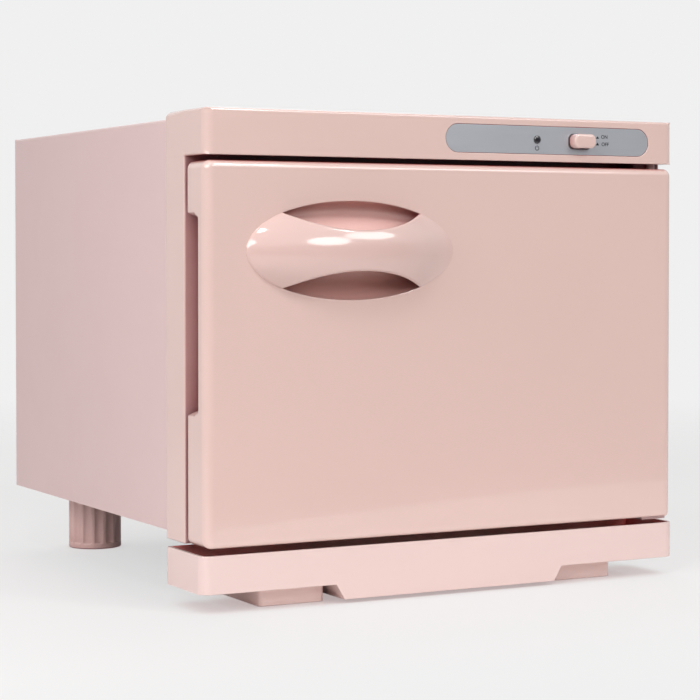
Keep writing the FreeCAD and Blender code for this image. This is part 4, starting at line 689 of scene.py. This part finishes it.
def makeHandleBar():
    # Patch of an ellipsoid between two arcs that curve towards each other; its edge is a half circle
    # laid along the outline, and its underside is the same patch set back by the thickness
    g = gripShape
    length, height, edge = g["halfLength"], g["halfHeight"], g["edge"]
    depthAxis = g["rise"] + g["sink"]
    share = math.sqrt(1 - (g["sink"] / depthAxis) ** 2)

    def dome(plan):
        # Ellipsoid with a raised lip, turning into rise (1 - r squared) to a power, level with the
        # door at r = 1, towards the hinge side
        along = plan[..., 0] / length
        across = np.clip(along ** 2 + (plan[..., 1] / height) ** 2, 0, 1)
        ellipsoid = depthAxis * np.sqrt(1 - share ** 2 * across) - g["sink"] + g["lip"] * across ** 3
        merged = g["rise"] * (1 - across) ** g["mergePower"] - g["mergeSink"]
        weight = smoothStep(along, *g["mergeSpan"])
        return frontY - ellipsoid * (1 - weight) - merged * weight

    def arcEdge(x):
        return g["waist"] + g["arcRadius"] - np.sqrt(g["arcRadius"] ** 2 - x ** 2)

    # Outline: upper arc, left end, lower arc, right end
    reach = np.linspace(0, length, 4000)
    gap = arcEdge(reach) - height * np.sqrt(1 - (reach / length) ** 2)
    cornerX = reach[np.argmax(gap > 0)]
    cornerAngle = math.acos(cornerX / length)
    across = np.linspace(cornerX, -cornerX, 96, endpoint=False)
    right = np.linspace(-cornerAngle, cornerAngle, 48, endpoint=False)
    left = right + np.pi
    outline = np.concatenate([
        np.stack([across, arcEdge(across)], 1), ellipse(left, length, height),
        np.stack([-across, -arcEdge(across)], 1), ellipse(right, length, height),
    ])
    along = np.roll(outline, -1, 0) - np.roll(outline, 1, 0)
    inward = np.stack([-along[:, 1], along[:, 0]], 1) / np.linalg.norm(along, axis=1)[:, None]
    patch = np.sin(np.linspace(0.01, np.pi / 2, 36))[:, None, None] * (outline + inward * edge)
    top = np.concatenate([patch, dome(patch)[..., None]], 2)
    turn = np.linspace(0, np.pi, 15)[1:-1, None]
    plan = outline + inward * (edge * (1 - np.sin(turn)))[..., None]
    rim = np.concatenate([plan, (dome(plan) + edge * (1 - np.cos(turn)))[..., None]], 2)
    rings = np.concatenate([top, rim, top[::-1] + (0, 0, 2 * edge)]) + (gripX, gripZ, 0)
    makePiece("handle_bar", "door", barPink, [turned(rings, "y")], crease=60)


def makeHandleBowl():
    # Ellipse loops: (share r of the outline, extra margin, depth) from the middle of the inside out
    # over the flange and back to the middle of the outside; depth times the root of 1 - r^6. Two bell
    # curves in height bring the inside forward: a broad one slopes the upper finger scoop, and a
    # narrow one is the web that carries the bar
    g = gripShape
    thick = g["bowlWall"]
    full = g["bowlDepth"] + thick
    out = np.sin(np.linspace(0.012, np.pi / 2, 44))
    fall = np.sqrt(1 - out ** 6)
    inside = [(o, 0, g["bowlDepth"] * f) for o, f in zip(out, fall)]
    flange = [(1, g["flange"], 0), (1, g["flange"], thick)]
    outside = [(o, thick * o, full * f) for o, f in zip(out[::-1], fall[::-1]) if full * f > thick]
    share, margin, depth = np.array(inside + flange + outside).T[..., None]
    angle = np.linspace(0, 2 * np.pi, 200, endpoint=False)
    x = (share * (g["halfLength"] + g["openMargin"]) + margin) * np.cos(angle)
    z = (share * (g["halfHeight"] + g["openMargin"]) + margin) * np.sin(angle)
    slope = g["slope"] * np.exp(-((z - g["slopeHeight"]) / g["slopeWidth"]) ** 2)
    web = g["web"] * (1 - share ** 2) * np.exp(-((z - g["webHeight"]) / g["webWidth"]) ** 2)
    depth = np.broadcast_to(depth, x.shape).copy()
    depth[:len(inside)] = (depth * (1 - slope) - web)[:len(inside)]
    strip = np.stack([gripX + x, frontY + g["seat"] + depth, gripZ + z], -1)
    makePiece("handle_bowl", "door", bowlPink, [strip], "handle_cup")


def makeGasket():
    # Bulb section carried round a rounded rectangle: inset width/2 (1 - cos t), height sin t to a power
    half, tall, power = gasketShape["width"] / 2, gasketHigh.y - gasketLow.y, 0.7
    loop, outward = roundLoop(gasketLow.x, gasketHigh.x, gasketLow.z, gasketHigh.z,
                              (gasketShape["corner"],) * 4, 12)
    rings = [ring(loop - outward * (half * (1 - math.cos(t))), gasketLow.y + tall * math.sin(t) ** power)
             for t in np.linspace(0, np.pi, 13)]
    strip = turned(np.concatenate(rings + rings[:1]), "y")
    makePiece("door_seal", "door", sealRubber, [strip], "door_gasket", fills=[])


makeDoorFront()
makeHandleBar()
makeHandleBowl()
makeGasket()
print("door made")

# Drip tray and feet
trayShape = sized(wall=2, frontCorner=6.5, rearCorner=1.5, edge=0.45, floorFillet=1.2, rearTrim=3.5, base=11,
                  troughLow=72, troughTop=77.5, nearStop=100, farStop=130)
frontFootShape = sized(corner=3, rearCorner=1, topEdge=0.7, lowEdge=0.5, toeTop=10.7, postSetback=45.5,
                       postInset=0.25, postLow=5, postEdge=0.1)
rearFootShape = sized(radius=17.8, fluteRadius=5.4, bite=1.1, edge=0.8, inward=0.5, forward=0.3, middle=24)
# Heights in millimetres at which the flutes grow out of the plain ring, with their share of full depth
rearFootShape.update(flutes=14, growth=((3.0, 0), (3.4, 0.15), (3.8, 0.7), (4.3, 1)))


def makeTray():
    # Section in y and z carried along x: the walls follow the corner arcs, and the floor drops into
    # the trough between the front feet
    t = trayShape
    half, wall, edge = trayHigh.x, t["wall"], t["edge"]
    arc = np.linspace(0, np.pi / 2, 12)
    right = np.concatenate([
        [0, t["troughLow"] - 8 * hair, t["troughLow"] - hair, t["troughTop"] + hair],
        [t["nearStop"], t["farStop"], half - wall - hair, half - wall + hair],
        half - t["frontCorner"] * (1 - np.sin(arc)), half - t["rearCorner"] * (1 - np.sin(arc[4:-1])),
    ])
    right = np.unique(np.round(right, 7))
    x = np.concatenate([-right[:0:-1], right])
    reach = np.abs(x)

    def cornerSetback(radius):
        past = np.clip(reach - (half - radius), 0, radius)
        return radius - np.sqrt(radius ** 2 - past ** 2)

    front = trayLow.y + cornerSetback(t["frontCorner"])
    back = trayHigh.y - t["rearTrim"] - cornerSetback(t["rearCorner"])
    frontIn, backIn = front + wall, back - wall
    low = np.interp(reach, [t["troughLow"], t["troughTop"]], [trayLow.z, t["base"]])
    top = np.full_like(x, trayHigh.z)
    solid = reach > half - wall  # the end walls, where the inside closes up to the top
    floor = np.where(solid, top, low + wall)
    fillet, lift = np.where(solid, hair, t["floorFillet"]), np.where(solid, 0, t["floorFillet"])
    dip = np.where(solid, 0, edge)
    middle = 0.3  # the middle of a rounding lies about this share of its radius off both faces
    bevel, curve, rise = middle * edge, middle * fillet, middle * lift
    section = [
        (front, low + edge), (front + bevel, low + bevel), (front + edge, low), (back - edge, low),
        (back, low + edge), (back, top - edge), (back - bevel, top - bevel), (back - edge, top),
        (backIn + edge, top), (backIn, top - dip), (backIn, floor + lift), (backIn - curve, floor + rise),
        (backIn - fillet, floor), (frontIn + fillet, floor), (frontIn + curve, floor + rise),
        (frontIn, floor + lift), (frontIn, top - dip), (frontIn - edge, top), (front + edge, top),
        (front + bevel, top - bevel), (front, top - edge),
    ]
    y, z = (np.stack([row[k] for row in section], 1) for k in (0, 1))
    strip = np.stack([np.broadcast_to(x[:, None], y.shape), y, z], -1)
    tray = makePiece("water_tray", "tray", trayPink, [strip], "drip_tray", crease=28)
    # The well inside the tray takes the painted shade copy of the tray's pink
    tray.data.materials.append(wellPink)
    wellX, wellFront, wellBack = half - wall + edge, trayLow.y + wall - edge, backIn.max() + edge
    for face in tray.data.polygons:
        spot = face.center
        if abs(spot.x) < wellX and wellFront < spot.y < wellBack and face.normal.z > -0.2:
            face.material_index = 1


def makeFrontFeet():
    # A low toe under the tray, and a post behind it up to the base
    f = frontFootShape
    corner, rear, inset = f["corner"], f["rearCorner"], f["postInset"]
    for name in ("left", "right"):
        low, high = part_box("front_foot_" + name)
        span = (low.x, high.x, low.y, high.y, 0, f["toeTop"])
        toe = softBlock("z", span, (rear, rear, corner, corner), f["lowEdge"], f["topEdge"])
        front = low.y + f["postSetback"]
        span = (low.x + inset, high.x - inset, front, high.y - inset, f["postLow"], high.z)
        post = softBlock("z", span, (rear,) * 4, f["lowEdge"], f["postEdge"])
        makePiece("toe_foot_" + name, "cabinet", toePink, [toe, post], "front_foot_" + name)


def makeRearFeet():
    # Round foot: radius is the least of the plain circle and the near side of each flute's circle,
    # carried up from a plain ring at the floor
    f = rearFootShape
    angle = np.linspace(0, 2 * np.pi, 448, endpoint=False)
    reach = f["radius"] + f["fluteRadius"] - f["bite"]
    pitch = 2 * np.pi / f["flutes"]
    off = (angle + pitch / 2) % pitch - pitch / 2
    under = f["fluteRadius"] ** 2 - (reach * np.sin(off)) ** 2
    bitten = np.where(under > 0, reach * np.cos(off) - np.sqrt(np.clip(under, 0, None)), f["radius"])
    fluted = np.minimum(f["radius"], bitten)
    fluted = sum(np.roll(fluted, k) for k in range(-1, 2)) / 3
    bend = np.linspace(0, np.pi / 2, 6)
    levels = [(f["edge"] * (1 - math.sin(t)), f["edge"] * (1 - math.cos(t)), 0) for t in bend]
    levels += [(0, height * mm, share) for height, share in f["growth"]] + [(0, f["middle"], 1)]
    for name, inward in (("left", f["inward"]), ("right", -f["inward"])):
        low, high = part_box("rear_foot_" + name)
        centre = ((low.x + high.x) / 2 + inward, (low.y + high.y) / 2 - f["forward"])
        rings = []
        for inset, z, share in levels + [(0, high.z, 1)]:
            radius = f["radius"] * (1 - share) + fluted * share - inset
            rings.append(ring(centre + ellipse(angle, radius, radius), z))
        strip = turned(np.concatenate(rings), "z")
        makePiece("fluted_foot_" + name, "cabinet", footPink, [strip], "rear_foot_" + name)


makeTray()
makeFrontFeet()
makeRearFeet()
print("tray and feet made")

# Studio: floor, world, lights, camera. Ranges are (from low, from high) or the four ends of a
# soft range; those of the world run over the direction looked in, from -1 to 1
studio = {
    # Contact colours and reach: a painted contact shadow on the floor close under the object
    "backdrop": (240, 240, 240), "backdropContact": (228, 212, 211),
    "floor": (239, 237, 236), "floorContact": (232, 212, 210), "contactReach": 18 * mm,
    "floorRough": 0.55, "floorSpecular": 0.25, "floorLevel": -0.2 * mm, "floorHalf": 2.6, "floorRear": 3.2,
    "floorFront": -0.46, "bow": 0.13, "bowSpan": (-0.15, 0.45), "fadeSpan": (0.55, 1.6),
    "paler": (-0.45, -0.22, 1.0, 0.68), "roomAbove": (0.0, 0.8, 0.3, 0.42),
    "roomAhead": (-0.95, -0.2, 0.45, 1.0), "shadeAhead": (-0.74, -0.3, 0.85, 0.35),
    "shadeLevel": (0.12, 0.34, 1.0, 0.0),
    "target": Vector((0, -0.03, 0.14)),
    "boxes": (
        # name, azimuth from the front towards the right, elevation, distance, width, height, watts
        ("frontBox", 7.5, 20, 1.5, 0.5, 0.4, 2.95),
        ("rightBox", 29, 28, 1.5, 0.6, 0.34, 2.5),
        ("keyBox", 22, 44, 1.5, 0.2, 0.2, 4.2),
        ("leftBox", -61, 23, 1.25, 1.0, 0.56, 7.1),
        ("topBox", -41, 51, 1.4, 0.26, 0.22, 2.6),
        ("rearBox", 162, 44, 1.8, 1.2, 1.0, 6.6),
    ),
    "lens": 108.4, "sensor": 36, "shift": -0.0676, "nearClip": 0.05,
    "cameraPlace": (-0.6396, -1.22195, 0.205), "cameraTurn": (88.5, 0, -28.1),
}


def makeFloor():
    # Sheet whose front edge bows towards the door; beyond a soft border it fades into the backdrop
    s = studio
    across = np.linspace(-s["floorHalf"], s["floorHalf"], 60)
    edge = s["floorFront"] - s["bow"] * smoothStep(across, *s["bowSpan"])
    depth = s["floorRear"] - edge
    lines = [np.stack([across, edge + depth * share], 1) for share in np.linspace(0, 1, 24)]
    grid = np.concatenate([ring(line, s["floorLevel"]) for line in lines])
    rows, count = grid.shape[:2]
    here = (np.arange(rows - 1)[:, None] * count + np.arange(count - 1)).reshape(-1)
    faces = np.stack([here, here + 1, here + count + 1, here + count], 1)
    mesh = bpy.data.meshes.new("studioFloor")
    mesh.from_pydata(grid.reshape(-1, 3).tolist(), [], faces.tolist())
    floor = bpy.data.objects.new("studioFloor", mesh)
    scene.collection.objects.link(floor)
    paper = bpy.data.materials.new("paperFloor")
    paper.use_nodes = True
    mesh.materials.append(paper)
    tree = paper.node_tree
    surface = tree.nodes["Principled BSDF"]
    surface.inputs["Roughness"].default_value = s["floorRough"]
    surface.inputs["Specular IOR Level"].default_value = s["floorSpecular"]
    clear = addNode(tree, "BsdfTransparent", (0, -200))
    place = addNode(tree, "TexCoord", (-700, -300))
    distance = addNode(tree, "VectorMath", (-500, -300), operation="LENGTH")
    fade = softRange(tree, (-300, -300), *s["fadeSpan"])
    blend = addNode(tree, "MixShader", (350, 0))
    plain = addNode(tree, "Emission", (0, 200))
    path = addNode(tree, "LightPath", (-400, 300))
    share = addNode(tree, "Math", (-200, 300), operation="MULTIPLY")
    spot = addNode(tree, "SeparateXYZ", (-600, 200))
    paler = softRange(tree, (-400, 150), *s["paler"])
    lifted = addNode(tree, "MixShader", (150, 200))
    # Painted shadow: floor and backdrop colours darken towards a warm tint close under the object
    for target, entry, colour in ((surface, "Base Color", "floor"), (plain, "Color", "backdrop")):
        deeper = tint(*s[colour + "Contact"])
        values = {"Color": tint(*s[colour]), "Tint": deeper, "Reach": s["contactReach"]}
        contact = addNode(tree, "Group", (-250, 500), values, node_tree=creviceTint)
        wire(tree, (contact, "Color", target, entry))
    wire(tree, (path, "Is Camera Ray", share, 0), (share, 0, lifted, "Fac"), (surface, 0, lifted, 1),
         (plain, 0, lifted, 2), (place, "Object", spot, 0), (spot, "Y", paler, "Value"),
         (paler, 0, share, 1), (place, "Object", distance, 0), (distance, "Value", fade, "Value"),
         (fade, 0, blend, "Fac"),
         (lifted, 0, blend, 1), (clear, 0, blend, 2), (blend, 0, tree.nodes["Material Output"], "Surface"))


def makeWorld():
    # Camera, gloss and glass see the plain backdrop, which gloss finds dimmer in front;
    # diffuse rays see a soft room
    world = bpy.data.worlds.new("studioWorld")
    scene.world = world
    world.use_nodes = True
    tree = world.node_tree
    room = tree.nodes["Background"]
    room.inputs["Color"].default_value = (1, 1, 1, 1)
    backdrop = addNode(tree, "Background", (0, -200), {"Color": tint(*studio["backdrop"])})
    path = addNode(tree, "LightPath", (-300, 300))
    blend = addNode(tree, "MixShader", (300, 0))
    place = addNode(tree, "TexCoord", (-900, 0))
    parts = addNode(tree, "SeparateXYZ", (-700, 0))
    above = softRange(tree, (-500, 100), *studio["roomAbove"])
    ahead = softRange(tree, (-500, -150), *studio["roomAhead"])
    glow = addNode(tree, "Math", (-300, 0), operation="MULTIPLY")
    seen = addNode(tree, "Math", (-100, 300), operation="ADD")
    seenOrBent = addNode(tree, "Math", (100, 300), operation="ADD", use_clamp=True)
    wire(tree, (place, "Generated", parts, 0), (parts, "Z", above, "Value"), (parts, "Y", ahead, "Value"),
         (above, 0, glow, 0), (ahead, 0, glow, 1), (glow, 0, room, "Strength"),
         (path, "Is Camera Ray", seen, 0), (path, "Is Glossy Ray", seen, 1), (seen, 0, seenOrBent, 0),
         (path, "Is Transmission Ray", seenOrBent, 1), (seenOrBent, 0, blend, "Fac"))
    front = softRange(tree, (-500, -400), *studio["shadeAhead"])
    height = addNode(tree, "Math", (-700, -600), operation="ABSOLUTE")
    level = softRange(tree, (-500, -600), *studio["shadeLevel"])
    shade = addNode(tree, "Math", (-300, -500), operation="MULTIPLY")
    rest = addNode(tree, "Math", (-150, -500), {0: 1.0}, operation="SUBTRACT")
    shown = addNode(tree, "Math", (0, -500), operation="MAXIMUM")
    wire(tree, (parts, "Y", front, "Value"), (parts, "Z", height, 0), (height, 0, level, "Value"),
         (front, 0, shade, 0), (level, 0, shade, 1), (shade, 0, rest, 1), (rest, 0, shown, 0),
         (path, "Is Camera Ray", shown, 1), (shown, 0, backdrop, "Strength"), (room, 0, blend, 1),
         (backdrop, 0, blend, 2), (blend, 0, tree.nodes["World Output"], "Surface"))


def makeLights():
    for name, azimuth, elevation, distance, width, height, watts in studio["boxes"]:
        a, e = math.radians(azimuth), math.radians(elevation)
        out = Vector((math.sin(a) * math.cos(e), -math.cos(a) * math.cos(e), math.sin(e)))
        lamp = bpy.data.lights.new(name, "AREA")
        lamp.shape = "ELLIPSE"
        lamp.size, lamp.size_y, lamp.energy = width, height, watts
        holder = bpy.data.objects.new(name, lamp)
        holder.location = studio["target"] + out * distance
        holder.rotation_euler = (-out).to_track_quat("-Z", "Y").to_euler()
        scene.collection.objects.link(holder)


def makeCamera():
    view = bpy.data.cameras.new("studioCamera")
    view.lens, view.sensor_width = studio["lens"], studio["sensor"]
    view.shift_y, view.clip_start = studio["shift"], studio["nearClip"]
    holder = bpy.data.objects.new("studioCamera", view)
    holder.location = studio["cameraPlace"]
    holder.rotation_euler = [math.radians(angle) for angle in studio["cameraTurn"]]
    scene.collection.objects.link(holder)
    scene.camera = holder


makeFloor()
makeWorld()
makeLights()
makeCamera()
scene.view_settings.view_transform = "Standard"
print("studio made")
